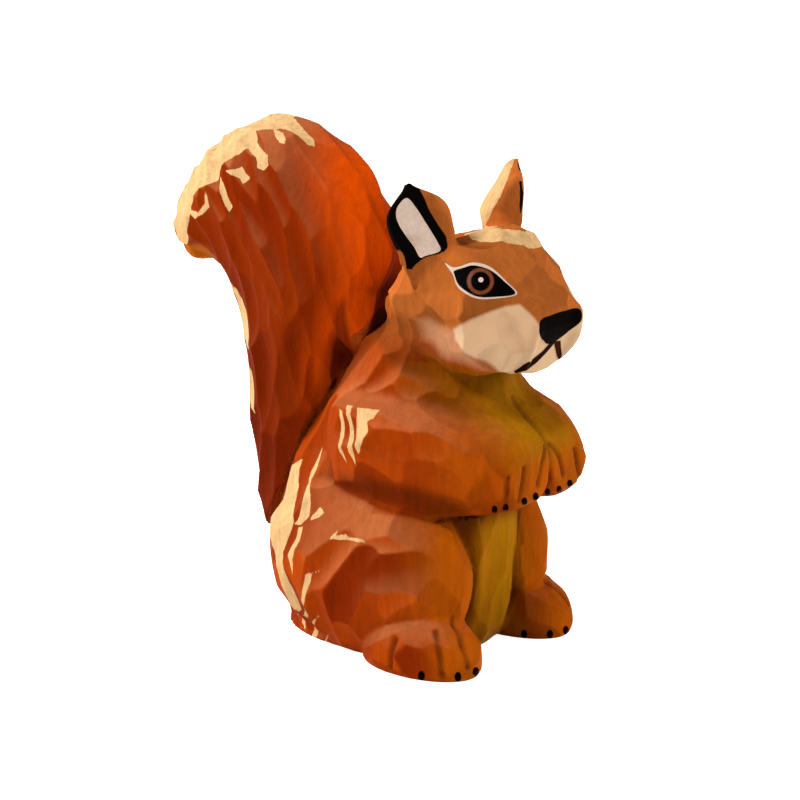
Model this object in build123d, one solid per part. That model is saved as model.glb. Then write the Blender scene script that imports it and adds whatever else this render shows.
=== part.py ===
from build123d import *
import math
import os

os.makedirs("parts", exist_ok=True)

# Carved wooden squirrel that sits on its haunches: blocks joined by dowels, then carved as one.
# X runs across it (its own left is +X), Y from nose to tail, Z up, in millimetres.
# The origin is on the floor, under the middle of the body. The right side is made and mirrored.

# Body, from the floor to the flat neck joint, and the root of the neck inside the head
TORSO_HEIGHT = 67.5
TORSO_WIDTH = 43.0
TORSO_DEPTH = 64.0
NECK_RISE = 16.5
TORSO_FULLNESS_SHARE = 0.585
# each row: height, front, rear and half width, as shares of height, depth, depth and width
TORSO_SHARES = (
    (0.000, -0.290, 0.520, 0.470),
    (0.148, -0.375, 0.586, 0.495),
    (0.326, -0.398, 0.602, 0.500),
    (0.519, -0.406, 0.531, 0.493),
    (0.711, -0.414, 0.414, 0.472),
    (0.859, -0.414, 0.312, 0.437),
    (1.000, -0.383, 0.216, 0.372),
)
# each row: rise, front, rear and half width, as shares of the neck's rise, depth, depth and width
NECK_SHARES = (
    (0.515, -0.344, 0.080, 0.290),
    (1.000, -0.281, 0.000, 0.220),
)

# Haunches, one ellipsoid on each side of the body
HAUNCH_LENGTH = 57.0
HAUNCH_WIDTH = 25.0
HAUNCH_HEIGHT = 45.0
HAUNCH_SPREAD_SHARE = 0.360
HAUNCH_PLACE_SHARE = 0.023
HAUNCH_LIFT_SHARE = 0.456

# Hind feet, cut from the body by a sloping joint under the knee
FOOT_LENGTH = 32.0
FOOT_WIDTH = 19.5
FOOT_HEIGHT = 22.0
FOOT_SPREAD_SHARE = 0.420
FOOT_PLACE_SHARE = -0.243
FOOT_LIFT_SHARE = 0.170
ANKLE_ANGLE = 31.0
ANKLE_HEEL_SHARE = 0.530
FOOT_INSIDE_SHARE = 0.500

# Arms, from the shoulder to the wrist joint and on to the fingertips
UPPER_ARM_LENGTH = 39.5
PAW_LENGTH = 11.0
ARM_WIDTH = 18.8
ARM_HEIGHT = 29.0
ARM_FULLNESS_SHARE = 0.660
ARM_LIFT_SHARE = 0.711
WRIST_PLACE_SHARE = -0.430
# each row: reach behind the wrist (a share of the upper arm) or ahead of it (negative, of the paw),
# then place across, place up, half width and half height, as shares of the arm's width and height
ARM_SHARES = (
    (1.000, 0.690, 0.070, 0.240, 0.240),
    (0.823, 0.820, 0.017, 0.425, 0.450),
    (0.519, 0.845, -0.007, 0.473, 0.500),
    (0.225, 0.720, 0.000, 0.520, 0.465),
    (-0.040, 0.500, 0.000, 0.545, 0.397),
    (-0.600, 0.415, -0.017, 0.460, 0.331),
    (-1.000, 0.395, 0.000, 0.380, 0.259),
)

# Head, above the neck joint
HEAD_LENGTH = 48.5
HEAD_WIDTH = 36.6
HEAD_HEIGHT = 33.0
HEAD_FULLNESS_SHARE = 0.605
NAPE_PLACE_SHARE = 0.125
# each row: place ahead of the nape, underside, top and half width, as shares of length, height,
# height and width
HEAD_SHARES = (
    (0.090, 0.240, 0.500, 0.170),
    (0.180, 0.150, 0.660, 0.310),
    (0.320, 0.091, 0.840, 0.425),
    (0.515, 0.045, 0.968, 0.500),
    (0.680, 0.024, 0.982, 0.484),
    (0.760, 0.018, 0.915, 0.450),
    (0.840, 0.020, 0.765, 0.372),
    (0.915, 0.040, 0.645, 0.314),
    (0.970, 0.095, 0.600, 0.282),
    (1.000, 0.180, 0.535, 0.210),
)

# Cheeks, one ellipsoid on each side of the head
CHEEK_LENGTH = 31.0
CHEEK_WIDTH = 18.4
CHEEK_HEIGHT = 19.0
CHEEK_SPREAD_SHARE = 0.254
CHEEK_PLACE_SHARE = 0.634
CHEEK_LIFT_SHARE = 0.303

# Ears: a leaf with a flat face, above a joint square to its own axis
EAR_HEIGHT = 13.4
EAR_ROOT = 12.0
EAR_WIDTH = 14.4
EAR_THICKNESS = 9.5
EAR_SPLAY = 15.0
EAR_LEAN = 8.5
EAR_TURN = 50.0
EAR_FULLNESS_SHARE = 0.552
EAR_SPREAD_SHARE = 0.415
EAR_PLACE_SHARE = 0.452
EAR_LIFT_SHARE = 0.960
EAR_ROOT_SHARES = (-1.0, -0.67, -0.33)
# each row: rise up the ear, middle behind the flat face, half thickness and half width, as shares
# of height, thickness, thickness and width
EAR_SHARES = (
    (0.000, 0.284, 0.620, 0.480),
    (0.300, 0.232, 0.526, 0.500),
    (0.700, 0.126, 0.316, 0.330),
    (1.000, 0.042, 0.095, 0.063),
)

# Tail, on a flat seat on the back
TAIL_HEIGHT = 104.5
TAIL_DEPTH = 57.0
TAIL_WIDTH = 29.0
TAIL_FULLNESS_SHARE = 0.605
SEAT_LOW_SHARES = (0.578, 0.356)
SEAT_HIGH_SHARES = (0.289, 0.859)
# each row: outer edge back and up, inner edge back and up, then half width, from the middle of the
# seat, as shares of depth, height, depth, height and width
TAIL_SHARES = (
    (-0.171, -0.077, 0.268, -0.220, 0.345),
    (-0.203, 0.038, 0.306, -0.115, 0.400),
    (-0.224, 0.153, 0.331, 0.000, 0.441),
    (-0.241, 0.278, 0.345, 0.124, 0.472),
    (-0.368, 0.411, 0.369, 0.239, 0.493),
    (-0.315, 0.545, 0.411, 0.323, 0.500),
    (-0.130, 0.681, 0.466, 0.367, 0.490),
    (0.145, 0.744, 0.524, 0.385, 0.455),
    (0.396, 0.714, 0.583, 0.392, 0.414),
    (0.587, 0.633, 0.650, 0.392, 0.352),
    (0.717, 0.531, 0.724, 0.389, 0.252),
)

# Dowels, glued half in each of the two blocks that they join
NECK_DOWEL_DIAMETER = 8.0
NECK_DOWEL_LENGTH = 26.0
NECK_DOWEL_PLACE_SHARE = -0.080
TAIL_DOWEL_DIAMETER = 6.0
TAIL_DOWEL_LENGTH = 18.0
TAIL_DOWEL_SHARES = (0.25, 0.75)
EAR_DOWEL_DIAMETER = 3.0
EAR_DOWEL_LENGTH = 11.0
WRIST_DOWEL_DIAMETER = 5.0
WRIST_DOWEL_LENGTH = 14.0
ANKLE_DOWEL_DIAMETER = 4.0
ANKLE_DOWEL_LENGTH = 10.0
ANKLE_DOWEL_PLACE_SHARE = 0.560
DOWEL_FIT = 0.05
GLUE_ROOM = 0.5


def ring(plane, half_across, half_along, fullness):
    """One rounded section about its plane's origin: four curves, fuller with longer handles."""
    corners = (
        Vector(half_across, 0),
        Vector(0, half_along),
        Vector(-half_across, 0),
        Vector(0, -half_along),
    )
    sides = []
    for index, start in enumerate(corners):
        end = corners[(index + 1) % len(corners)]
        sides.append(Bezier(start, start + end * fullness, end + start * fullness, end))
    return plane * make_face(sides)


def level_ring(height, front, rear, half_width, fullness):
    """A level section from its front to its rear edge."""
    plane = Plane(origin=(0, (front + rear) / 2, height))
    return ring(plane, half_width, (rear - front) / 2, fullness)


def upright_ring(across, place, low, high, half_width, fullness):
    """An upright section that faces along Y, from its underside to its top."""
    plane = Plane(origin=(across, place, (low + high) / 2), x_dir=(1, 0, 0), z_dir=(0, -1, 0))
    return ring(plane, half_width, (high - low) / 2, fullness)


def ellipsoid(centre, length, width, height):
    """An ellipsoid from its full length along Y, width along X and height along Z."""
    return Pos(*centre) * scale(Sphere(1), by=(width / 2, length / 2, height / 2))


def mirrored(shape):
    """The same shape on the other side of the body."""
    return mirror(shape, about=Plane.YZ)


def dowel(plane, diameter, length):
    """A dowel whose middle lies on a joint plane, square to it."""
    return plane * Cylinder(diameter / 2, length)


def socket(plane, diameter, length):
    """The bore for a dowel, with its fit and the glue room past both ends."""
    return plane * Cylinder(diameter / 2 + DOWEL_FIT, length + 2 * GLUE_ROOM)


def keep_above(shape, plane):
    """The share of a shape on the side that a plane's normal points to."""
    return split(shape, bisect_by=plane, keep=Keep.TOP)


def keep_below(shape, plane):
    """The share of a shape on the other side of a plane."""
    return split(shape, bisect_by=plane, keep=Keep.BOTTOM)


# Joint planes
floor_plane = Plane.XY
neck_plane = Plane(origin=(0, NECK_DOWEL_PLACE_SHARE * TORSO_DEPTH, TORSO_HEIGHT))
wrist_y = WRIST_PLACE_SHARE * TORSO_DEPTH
arm_z = ARM_LIFT_SHARE * TORSO_HEIGHT
wrist_plane = Plane(
    origin=(-ARM_WIDTH / 2, wrist_y, arm_z),
    x_dir=(1, 0, 0),
    z_dir=(0, -1, 0),
)
middle_plane = Plane(origin=(0, 0, 0), x_dir=(0, 1, 0), z_dir=(-1, 0, 0))

seat_low = Vector(0, SEAT_LOW_SHARES[0] * TORSO_DEPTH, SEAT_LOW_SHARES[1] * TORSO_HEIGHT)
seat_high = Vector(0, SEAT_HIGH_SHARES[0] * TORSO_DEPTH, SEAT_HIGH_SHARES[1] * TORSO_HEIGHT)
seat_middle = (seat_low + seat_high) / 2
seat_plane = Plane(
    origin=seat_middle,
    x_dir=(1, 0, 0),
    z_dir=Vector(1, 0, 0).cross(seat_low - seat_high),
)

foot_x = -FOOT_SPREAD_SHARE * TORSO_WIDTH
foot_y = FOOT_PLACE_SHARE * TORSO_DEPTH
heel_y = foot_y + ANKLE_HEEL_SHARE * FOOT_LENGTH
ankle_slope = math.tan(math.radians(ANKLE_ANGLE))
ankle_y = heel_y - ANKLE_DOWEL_PLACE_SHARE * FOOT_LENGTH
ankle_plane = Plane(
    origin=(foot_x, ankle_y, ankle_slope * (heel_y - ankle_y)),
    x_dir=(1, 0, 0),
    z_dir=(0, math.sin(math.radians(ANKLE_ANGLE)), math.cos(math.radians(ANKLE_ANGLE))),
)

ear_axis = Vector(-math.tan(math.radians(EAR_SPLAY)), math.tan(math.radians(EAR_LEAN)), 1).normalized()
ear_plane = Plane(
    origin=(
        -EAR_SPREAD_SHARE * HEAD_WIDTH,
        NAPE_PLACE_SHARE * TORSO_DEPTH - EAR_PLACE_SHARE * HEAD_LENGTH,
        TORSO_HEIGHT + EAR_LIFT_SHARE * HEAD_HEIGHT,
    ),
    x_dir=(math.cos(math.radians(EAR_TURN)), -math.sin(math.radians(EAR_TURN)), 0),
    z_dir=ear_axis,
)


def torso_and_neck():
    """The body from the floor to the root of the neck, with no limbs."""
    rows = []
    for height, front, rear, half_width in TORSO_SHARES:
        rows.append((height * TORSO_HEIGHT, front, rear, half_width))
    for rise, front, rear, half_width in NECK_SHARES:
        rows.append((TORSO_HEIGHT + rise * NECK_RISE, front, rear, half_width))
    return loft(
        [
            level_ring(
                height,
                front * TORSO_DEPTH,
                rear * TORSO_DEPTH,
                half_width * TORSO_WIDTH,
                TORSO_FULLNESS_SHARE,
            )
            for height, front, rear, half_width in rows
        ]
    )


def right_arm():
    """The whole right arm, from inside the shoulder to the fingertips."""
    sections = []
    for reach, across, up, half_width, half_height in ARM_SHARES:
        span = UPPER_ARM_LENGTH if reach > 0 else PAW_LENGTH
        middle = arm_z + up * ARM_HEIGHT
        sections.append(
            upright_ring(
                -across * ARM_WIDTH,
                wrist_y + reach * span,
                middle - half_height * ARM_HEIGHT,
                middle + half_height * ARM_HEIGHT,
                half_width * ARM_WIDTH,
                ARM_FULLNESS_SHARE,
            )
        )
    return loft(sections)


def right_haunch():
    """The right thigh and knee."""
    centre = (
        -HAUNCH_SPREAD_SHARE * TORSO_WIDTH,
        HAUNCH_PLACE_SHARE * TORSO_DEPTH,
        HAUNCH_LIFT_SHARE * HAUNCH_HEIGHT,
    )
    return ellipsoid(centre, HAUNCH_LENGTH, HAUNCH_WIDTH, HAUNCH_HEIGHT)


def right_foot():
    """The right hind foot, before it is cut from the body."""
    centre = (foot_x, foot_y, FOOT_LIFT_SHARE * FOOT_HEIGHT)
    return ellipsoid(centre, FOOT_LENGTH, FOOT_WIDTH, FOOT_HEIGHT)


def foot_region():
    """The wedge under the right ankle joint, outside the belly, that belongs to the foot."""
    inside = foot_x + FOOT_INSIDE_SHARE * FOOT_WIDTH
    outside = foot_x - FOOT_WIDTH
    front = heel_y - 2 * FOOT_LENGTH
    outline = Polyline(
        (heel_y + FOOT_HEIGHT / ankle_slope, -FOOT_HEIGHT),
        (front, ankle_slope * (heel_y - front)),
        (front, -FOOT_HEIGHT),
        close=True,
    )
    wall = Plane(origin=(outside, 0, 0), x_dir=(0, 1, 0), z_dir=(1, 0, 0))
    return extrude(wall * make_face(outline), amount=inside - outside)


def head():
    """The head with its cheeks and the root of the neck, above the neck joint."""
    nape = NAPE_PLACE_SHARE * TORSO_DEPTH
    sections = []
    for place, low, high, half_width in HEAD_SHARES:
        sections.append(
            upright_ring(
                0,
                nape - place * HEAD_LENGTH,
                TORSO_HEIGHT + low * HEAD_HEIGHT,
                TORSO_HEIGHT + high * HEAD_HEIGHT,
                half_width * HEAD_WIDTH,
                HEAD_FULLNESS_SHARE,
            )
        )
    cheek_centre = (
        -CHEEK_SPREAD_SHARE * HEAD_WIDTH,
        nape - CHEEK_PLACE_SHARE * HEAD_LENGTH,
        TORSO_HEIGHT + CHEEK_LIFT_SHARE * HEAD_HEIGHT,
    )
    cheek = ellipsoid(cheek_centre, CHEEK_LENGTH, CHEEK_WIDTH, CHEEK_HEIGHT)
    return loft(sections) + cheek + mirrored(cheek)


def right_ear_and_root():
    """The right ear with the root that stays on the head, its face cut flat."""
    rows = [(depth * EAR_ROOT, *EAR_SHARES[0][1:]) for depth in EAR_ROOT_SHARES]
    rows.extend((rise * EAR_HEIGHT, *others) for rise, *others in EAR_SHARES)
    face_to_axis = EAR_SHARES[0][1] * EAR_THICKNESS
    sections = []
    for rise, middle, half_thickness, half_width in rows:
        plane = ear_plane * Plane(origin=(0, middle * EAR_THICKNESS - face_to_axis, rise))
        sections.append(
            ring(plane, half_width * EAR_WIDTH, half_thickness * EAR_THICKNESS, EAR_FULLNESS_SHARE)
        )
    face_plane = Plane(
        origin=ear_plane.origin - ear_plane.y_dir * face_to_axis,
        x_dir=ear_plane.x_dir,
        z_dir=ear_plane.y_dir,
    )
    return keep_above(loft(sections), face_plane)


def tail():
    """The whole tail, before its seat is cut."""
    sections = []
    for outer_back, outer_up, inner_back, inner_up, half_width in TAIL_SHARES:
        outer = seat_middle + Vector(0, outer_back * TAIL_DEPTH, outer_up * TAIL_HEIGHT)
        inner = seat_middle + Vector(0, inner_back * TAIL_DEPTH, inner_up * TAIL_HEIGHT)
        chord = inner - outer
        plane = Plane(origin=(outer + inner) / 2, x_dir=chord, z_dir=Vector(1, 0, 0).cross(chord))
        sections.append(ring(plane, chord.length / 2, half_width * TAIL_WIDTH, TAIL_FULLNESS_SHARE))
    return loft(sections)


# Whole forms, before the joints are cut
trunk = torso_and_neck()
arm = right_arm()
upper_arm = keep_below(arm, wrist_plane)
ear = right_ear_and_root()
ear_root = keep_below(ear, ear_plane)

body = keep_below(trunk, neck_plane)
for limb in (right_haunch(), right_foot(), upper_arm):
    body = body + limb + mirrored(limb)
body = keep_above(body, floor_plane)

skull = head() + keep_above(trunk, neck_plane) + ear_root + mirrored(ear_root)
skull = keep_above(skull, neck_plane)

# Blocks, cut by the joint planes
right_region = foot_region()
left_region = mirrored(right_region)
right_ear = keep_above(ear, ear_plane)
right_forepaw = keep_above(keep_above(arm, wrist_plane), middle_plane)
right_hind_foot = body & right_region
torso_block = keep_below(body - right_region - left_region, seat_plane)
tail_block = keep_above(tail(), seat_plane)
head_block = skull

# Dowels and their sockets
tail_planes = []
for share in TAIL_DOWEL_SHARES:
    place = seat_low + (seat_high - seat_low) * share
    tail_planes.append(Plane(origin=place, x_dir=seat_plane.x_dir, z_dir=seat_plane.z_dir))

neck_dowel = dowel(neck_plane, NECK_DOWEL_DIAMETER, NECK_DOWEL_LENGTH)
neck_socket = socket(neck_plane, NECK_DOWEL_DIAMETER, NECK_DOWEL_LENGTH)
ear_dowel = dowel(ear_plane, EAR_DOWEL_DIAMETER, EAR_DOWEL_LENGTH)
ear_socket = socket(ear_plane, EAR_DOWEL_DIAMETER, EAR_DOWEL_LENGTH)
wrist_dowel = dowel(wrist_plane, WRIST_DOWEL_DIAMETER, WRIST_DOWEL_LENGTH)
wrist_socket = socket(wrist_plane, WRIST_DOWEL_DIAMETER, WRIST_DOWEL_LENGTH)
ankle_dowel = dowel(ankle_plane, ANKLE_DOWEL_DIAMETER, ANKLE_DOWEL_LENGTH)
ankle_socket = socket(ankle_plane, ANKLE_DOWEL_DIAMETER, ANKLE_DOWEL_LENGTH)

head_block = head_block - neck_socket - ear_socket - mirrored(ear_socket)
right_ear = right_ear - ear_socket
right_forepaw = right_forepaw - wrist_socket
right_hind_foot = right_hind_foot - ankle_socket
torso_block = torso_block - neck_socket
for bore in (wrist_socket, ankle_socket):
    torso_block = torso_block - bore - mirrored(bore)
for plane in tail_planes:
    bore = socket(plane, TAIL_DOWEL_DIAMETER, TAIL_DOWEL_LENGTH)
    torso_block = torso_block - bore
    tail_block = tail_block - bore

nodes = {
    "torso_block": torso_block,
    "head_block": head_block,
    "tail_block": tail_block,
    "right_ear": right_ear,
    "left_ear": mirrored(right_ear),
    "right_forepaw": right_forepaw,
    "left_forepaw": mirrored(right_forepaw),
    "right_hind_foot": right_hind_foot,
    "left_hind_foot": mirrored(right_hind_foot),
    "neck_dowel": neck_dowel,
    "tail_dowels": Compound(
        children=[dowel(plane, TAIL_DOWEL_DIAMETER, TAIL_DOWEL_LENGTH) for plane in tail_planes]
    ),
    "ear_dowels": Compound(children=[ear_dowel, mirrored(ear_dowel)]),
    "wrist_dowels": Compound(children=[wrist_dowel, mirrored(wrist_dowel)]),
    "ankle_dowels": Compound(children=[ankle_dowel, mirrored(ankle_dowel)]),
}

for name, shape in nodes.items():
    export_step(shape, f"parts/{name}.step")
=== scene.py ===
"""A hand-carved, painted wooden squirrel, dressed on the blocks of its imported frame.

The blocks are fused, cut with gouge strokes and parted again along their glue faces.
Paint that has a crisp edge is a thin closed film that lies on the carved wood.
Tables are in millimetres, or in pixels of the 800 by 800 picture where a name says so.
"""
import math

import bmesh
import bpy
import numpy as np
from bpy.props import FloatProperty, FloatVectorProperty, IntProperty, PointerProperty
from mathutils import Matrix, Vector, geometry
from mathutils.bvhtree import BVHTree
from mathutils.kdtree import KDTree


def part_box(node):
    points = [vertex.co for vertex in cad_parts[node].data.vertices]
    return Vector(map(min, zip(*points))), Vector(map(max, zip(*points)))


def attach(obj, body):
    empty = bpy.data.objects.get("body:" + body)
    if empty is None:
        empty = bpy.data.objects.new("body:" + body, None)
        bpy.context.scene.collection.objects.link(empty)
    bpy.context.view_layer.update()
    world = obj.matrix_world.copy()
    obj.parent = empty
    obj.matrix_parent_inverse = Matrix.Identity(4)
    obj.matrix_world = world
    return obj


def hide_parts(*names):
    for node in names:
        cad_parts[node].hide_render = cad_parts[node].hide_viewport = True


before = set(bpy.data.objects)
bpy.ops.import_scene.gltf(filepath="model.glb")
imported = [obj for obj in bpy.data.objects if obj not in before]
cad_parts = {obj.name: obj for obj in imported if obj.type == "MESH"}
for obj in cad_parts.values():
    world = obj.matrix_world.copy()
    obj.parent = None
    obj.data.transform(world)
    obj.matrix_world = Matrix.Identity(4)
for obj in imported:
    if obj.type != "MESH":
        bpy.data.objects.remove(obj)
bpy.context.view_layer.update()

bl_info = {
    "name": "Carved Squirrel",
    "version": (1, 0, 0),
    "blender": (4, 5, 0),
    "location": "View3D > Sidebar > Squirrel",
    "description": "Carves and paints a wooden squirrel figurine on its packed blocks",
    "category": "Object",
}

MM = 0.001
ROOT = "root"
SEED = 20

# Blocks and dowels of the frame
CARVED_NODES = (
    "torso_block", "head_block", "tail_block", "right_ear", "left_ear",
    "right_forepaw", "left_forepaw", "right_hind_foot", "left_hind_foot",
)
DOWEL_NODES = ("neck_dowel", "tail_dowels", "ear_dowels", "wrist_dowels", "ankle_dowels")
SIDES = (("right", False), ("left", True))

# Axes of the frame: across, along from nose to tail, and up
X, Y, Z = range(3)
MIRROR = np.array((-1, 1, 1))

# Camera of the picture, metres and pixels
CAMERA_PLACE = Vector((-0.4872, -0.3760, 0.2212))
CAMERA_TARGET = Vector((0.0, 0.0046, 0.0556))
IMAGE_SIDE = 800
FOCAL_PIXELS = 2746
SENSOR_WIDTH = 36.0
CLIP_START = 0.01

# Glue faces: depth and height in the middle plane, then planes of the ears and feet
TAIL_PARTING = (
    (46.0, 7.5), (37.0, 24.0), (18.5, 58.0), (13.4, 67.4), (12.7, 70.0), (9.6, 74.0), (6.2, 80.0),
    (3.6, 86.0), (3.0, 94.0), (3.0, 100.0), (2.0, 130.0), (90.0, 130.0), (90.0, 7.5),
)
ANKLE_HEEL = 1.41
ANKLE_ANGLE = math.radians(31)
FOOT_INSIDE = 8.31
EAR_JOINT = (-15.19, -13.92, 99.18)
EAR_AXIS = (-0.2679, 0.1495, 1.0)
HEEL_MARGIN = 2.0

# Half size of the cutters, and the angle from which an edge of a piece is shown sharp
REACH = 80.0
SHARP_ANGLE = math.radians(50)

# Wood left standing between the forearms, between the paws, under the throat and before the tail
FILLS = (
    ((0.0, -22.0, 47.5), (11.5, 14.6, 11.5)),
    ((0.0, -27.0, 49.0), (9.6, 10.8, 9.6)),
    ((0.0, -18.0, 61.5), (12.0, 10.5, 9.0)),
    ((0.0, 14.0, 78.0), (11.0, 6.5, 14.0)),
)

# Sloping cut below the nose: depth and height where it starts, its slope, rounding and half width
CHIN_START = (-39.6, 80.0)
CHIN_SLOPE = 0.40
CHIN_ROUNDING = 0.5
CHIN_WIDTH = (10.0, 5.0)
CHIN_LOW = 67.0
CHIN_BACK = -28.0

# Easing of the fused surface: the share of each pass, how often and where
EASE_SHARE = 0.5
EASE_LEAST = 0.01
NECK_HEIGHT = 68.0
NECK_BAND = (12.0, 3.0)
NECK_FRONT = (-24.0, -10.0)
NECK_OFF_TAIL = -2.5
NECK_PASSES = 160
BREAST_PASSES = 420
TAIL_END_LOW = 66.0
TAIL_END_PASSES = 60

# Soft edges of areas: an axis, then the places on it where the mask is 0 and where it is 1.
# Places across count from the middle to both sides.
SOFT_EDGES = {
    "breast": ((X, 18, 12), (Z, 46, 54), (Z, 70, 65), (Y, -4, -12)),
    "tail_end": ((Y, 61, 67),),
    "chin": ((Z, 77, 72), (Y, -30, -36)),
    "lip": ((Y, -33, -36), (Z, 81, 79)),
    "belly": ((X, 13, 5), (Y, -10, -18), (Z, 40, 30)),
    "belly_foot": ((Z, 22, 6),),
    "chest": ((X, 18, 5), (Y, -10, -18), (Z, 46, 54)),
    "throat": ((X, 20, 8), (Y, 0, -14), (Z, 56, 62)),
    "jaw": ((Z, 74, 68), (Y, 4, -10)),
    "face": ((Z, 66, 82),),
    "below_neck": ((Z, 72, 66),),
    "front_half": ((Y, 20, 8),),
    "tail_glow": ((Z, 30, 50),),
    "low_tail_shade": ((Z, 104, 58),),
    "off_floor": ((Z, 0.2, 1.6),),
}

# Step and reach of the search for creases, and from which to which depth they darken with painted shade
HOLLOW_STEP = 2.8
HOLLOW_PASSES = 6
HOLLOW_DEPTH = (0.1, 1.9)
# How far the painted shade in the creases hides the painted sunlit highlights
SHADE_HIDES_SUNLIGHT = (0.3, 0.9)

# Places that the strokes run round on the tail and the thighs
TAIL_PIVOT = (95.0, 60.0)
THIGH_PIVOT = (-16.0, 10.0)

# Width, length and ridge height of the strokes on each form
STROKES = {
    "back": (6.4, 21.0, 1.10),
    "tail": (6.0, 19.0, 1.25),
    "tip": (5.4, 11.0, 1.20),
    "head": (8.0, 10.0, 1.35),
    "ear": (4.4, 9.0, 0.10),
    "haunch": (7.2, 19.0, 1.10),
    "arm": (6.4, 16.0, 1.20),
    "paw": (4.6, 12.0, 0.30),
    "foot": (5.0, 11.0, 0.60),
    "chest": (5.6, 18.0, 0.85),
}
FORMS = tuple(STROKES)

# Boxes of the forms: low and high across, along and up; later rows overrule earlier ones
FAR = 200.0
PAW_BOX = ((-FAR, FAR), (-FAR, -27), (34, 62))
FOOT_BOX = ((8, FAR), (-FAR, FAR), (-FAR, 18))
FORM_BOXES = (
    ("chest", ((-FAR, 13), (-FAR, -12), (-FAR, FAR))),
    ("arm", ((11, FAR), (-FAR, 6), (34, 62))),
    ("arm", ((-FAR, FAR), (-FAR, -22), (34, 62))),
    ("haunch", ((10, FAR), (-FAR, 30), (-FAR, 36))),
    ("haunch", ((10, FAR), (-6, 30), (-FAR, 46))),
    ("paw", PAW_BOX),
    ("head", ((-FAR, FAR), (-FAR, FAR), (67.5, FAR))),
)
EAR_ROOT = -1.0
EAR_LOW = 96.0
TIP_START = 46.0
TIP_LEAN = 0.55
TIP_HEIGHT = 100.0

# Direction of the strokes on the near side
FLOWS = {
    "back": (0.0, -0.42, 0.91),
    "head": (0.0, -0.95, -0.30),
    "ear": EAR_AXIS,
    "arm": (0.25, -0.95, -0.18),
    "paw": (0.0, -0.20, -0.98),
    "foot": (0.0, -0.90, -0.44),
    "chest": (0.0, -0.15, 0.99),
}

# Laying of the strokes: tries, least gap, how alike two faces are, and how strokes vary
STROKE_TRIES = 16000
STROKE_GAP = 0.5
STROKE_FACING = 0.2
STROKE_VARIETY = 0.16

# Cross-section of a stroke: curve, sink, spread of sinks, and what ends it
STROKE_CURVE = 2.4
STROKE_SINK = 0.65
STROKE_LIFTS = 1.1
STROKE_WRAP = 0.1
STROKE_TONE_EDGE = (0, 0.14)
RIDGE_LIMIT = 0.7
NOT_REACHED = 50.0
LEVEL_LIMIT = 10.0
POINTS_AT_ONCE = 4000

# V cuts on the near side, in pixels, with width and depth in millimetres
FINGER_CUTS = (
    ((545.4, 445.5), (542.0, 464.0), (538.4, 485.0)),
    ((525.5, 468.0), (523.5, 486.0), (519.5, 503.0)),
    ((509.0, 478.0), (507.5, 494.0), (504.0, 511.0)),
)
TOE_CUTS = (
    ((395.0, 640.0), (391.0, 655.0), (390.0, 668.0)),
    ((435.0, 632.0), (440.0, 655.0), (443.0, 679.0)),
    ((455.0, 622.0), (463.0, 645.0), (468.0, 668.0)),
)
FINGER_CUT_SIZE = (0.9, 0.75)
TOE_CUT_SIZE = (1.1, 0.8)
PAW_GAP_SIZE = (1.2, 0.5)
GROOVE_FULL = 0.7

# Outlines of paint, of painted shade and of painted sunlit highlights on the near side, in pixels; the far
# side mirrors them
CREAM_AREA = (
    (556, 338), (541, 330), (534, 317), (521, 302), (506, 306), (486, 314), (468, 321), (452, 329),
    (453, 340), (465, 353), (485, 362), (503, 372), (514, 378), (536, 372), (560, 366), (572, 352),
)
CREAM_HALO = (
    (405, 317), (425, 316), (455, 326), (486, 362), (512, 376), (470, 372), (436, 362), (414, 344),
)
# Painted sunlit highlights on the rump, thigh and shoulder
BODY_SUNLIT = (
    ((305, 459), (298, 483), (292, 501), (291, 521), (281, 552), (287, 581), (298, 612), (296, 617),
     (281, 586), (271, 545), (268, 519), (269, 505), (275, 492), (283, 476), (293, 467)),
    ((320, 445), (317, 465), (312, 483), (309, 501), (306, 516), (298, 525), (291, 524), (297, 516),
     (302, 501), (304, 492), (309, 483), (310, 472), (317, 454)),
    ((322, 512), (317, 506), (309, 515), (306, 521), (315, 517)),
    ((340, 528), (336, 536), (347, 534), (348, 537), (364, 539), (366, 543), (346, 540), (329, 539),
     (334, 534)),
    ((300, 526), (298, 541), (292, 559), (292, 574), (288, 554), (294, 536), (295, 527)),
    ((322, 570), (312, 574), (309, 588), (305, 608), (304, 630), (300, 623), (302, 603), (306, 574)),
    ((319, 615), (316, 621), (315, 632), (317, 640), (312, 637), (311, 628), (314, 619)),
    ((328, 635), (326, 644), (324, 645), (325, 638)),
    ((340, 408), (343, 411), (342, 434), (343, 449), (346, 464), (340, 452), (338, 434)),
    ((347, 405), (353, 405), (350, 414), (352, 434), (354, 452), (356, 468), (349, 452), (347, 429),
     (346, 414)),
    ((357, 407), (379, 409), (372, 418), (366, 421), (367, 431), (363, 438), (359, 456), (355, 447),
     (354, 429)),
)
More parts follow.
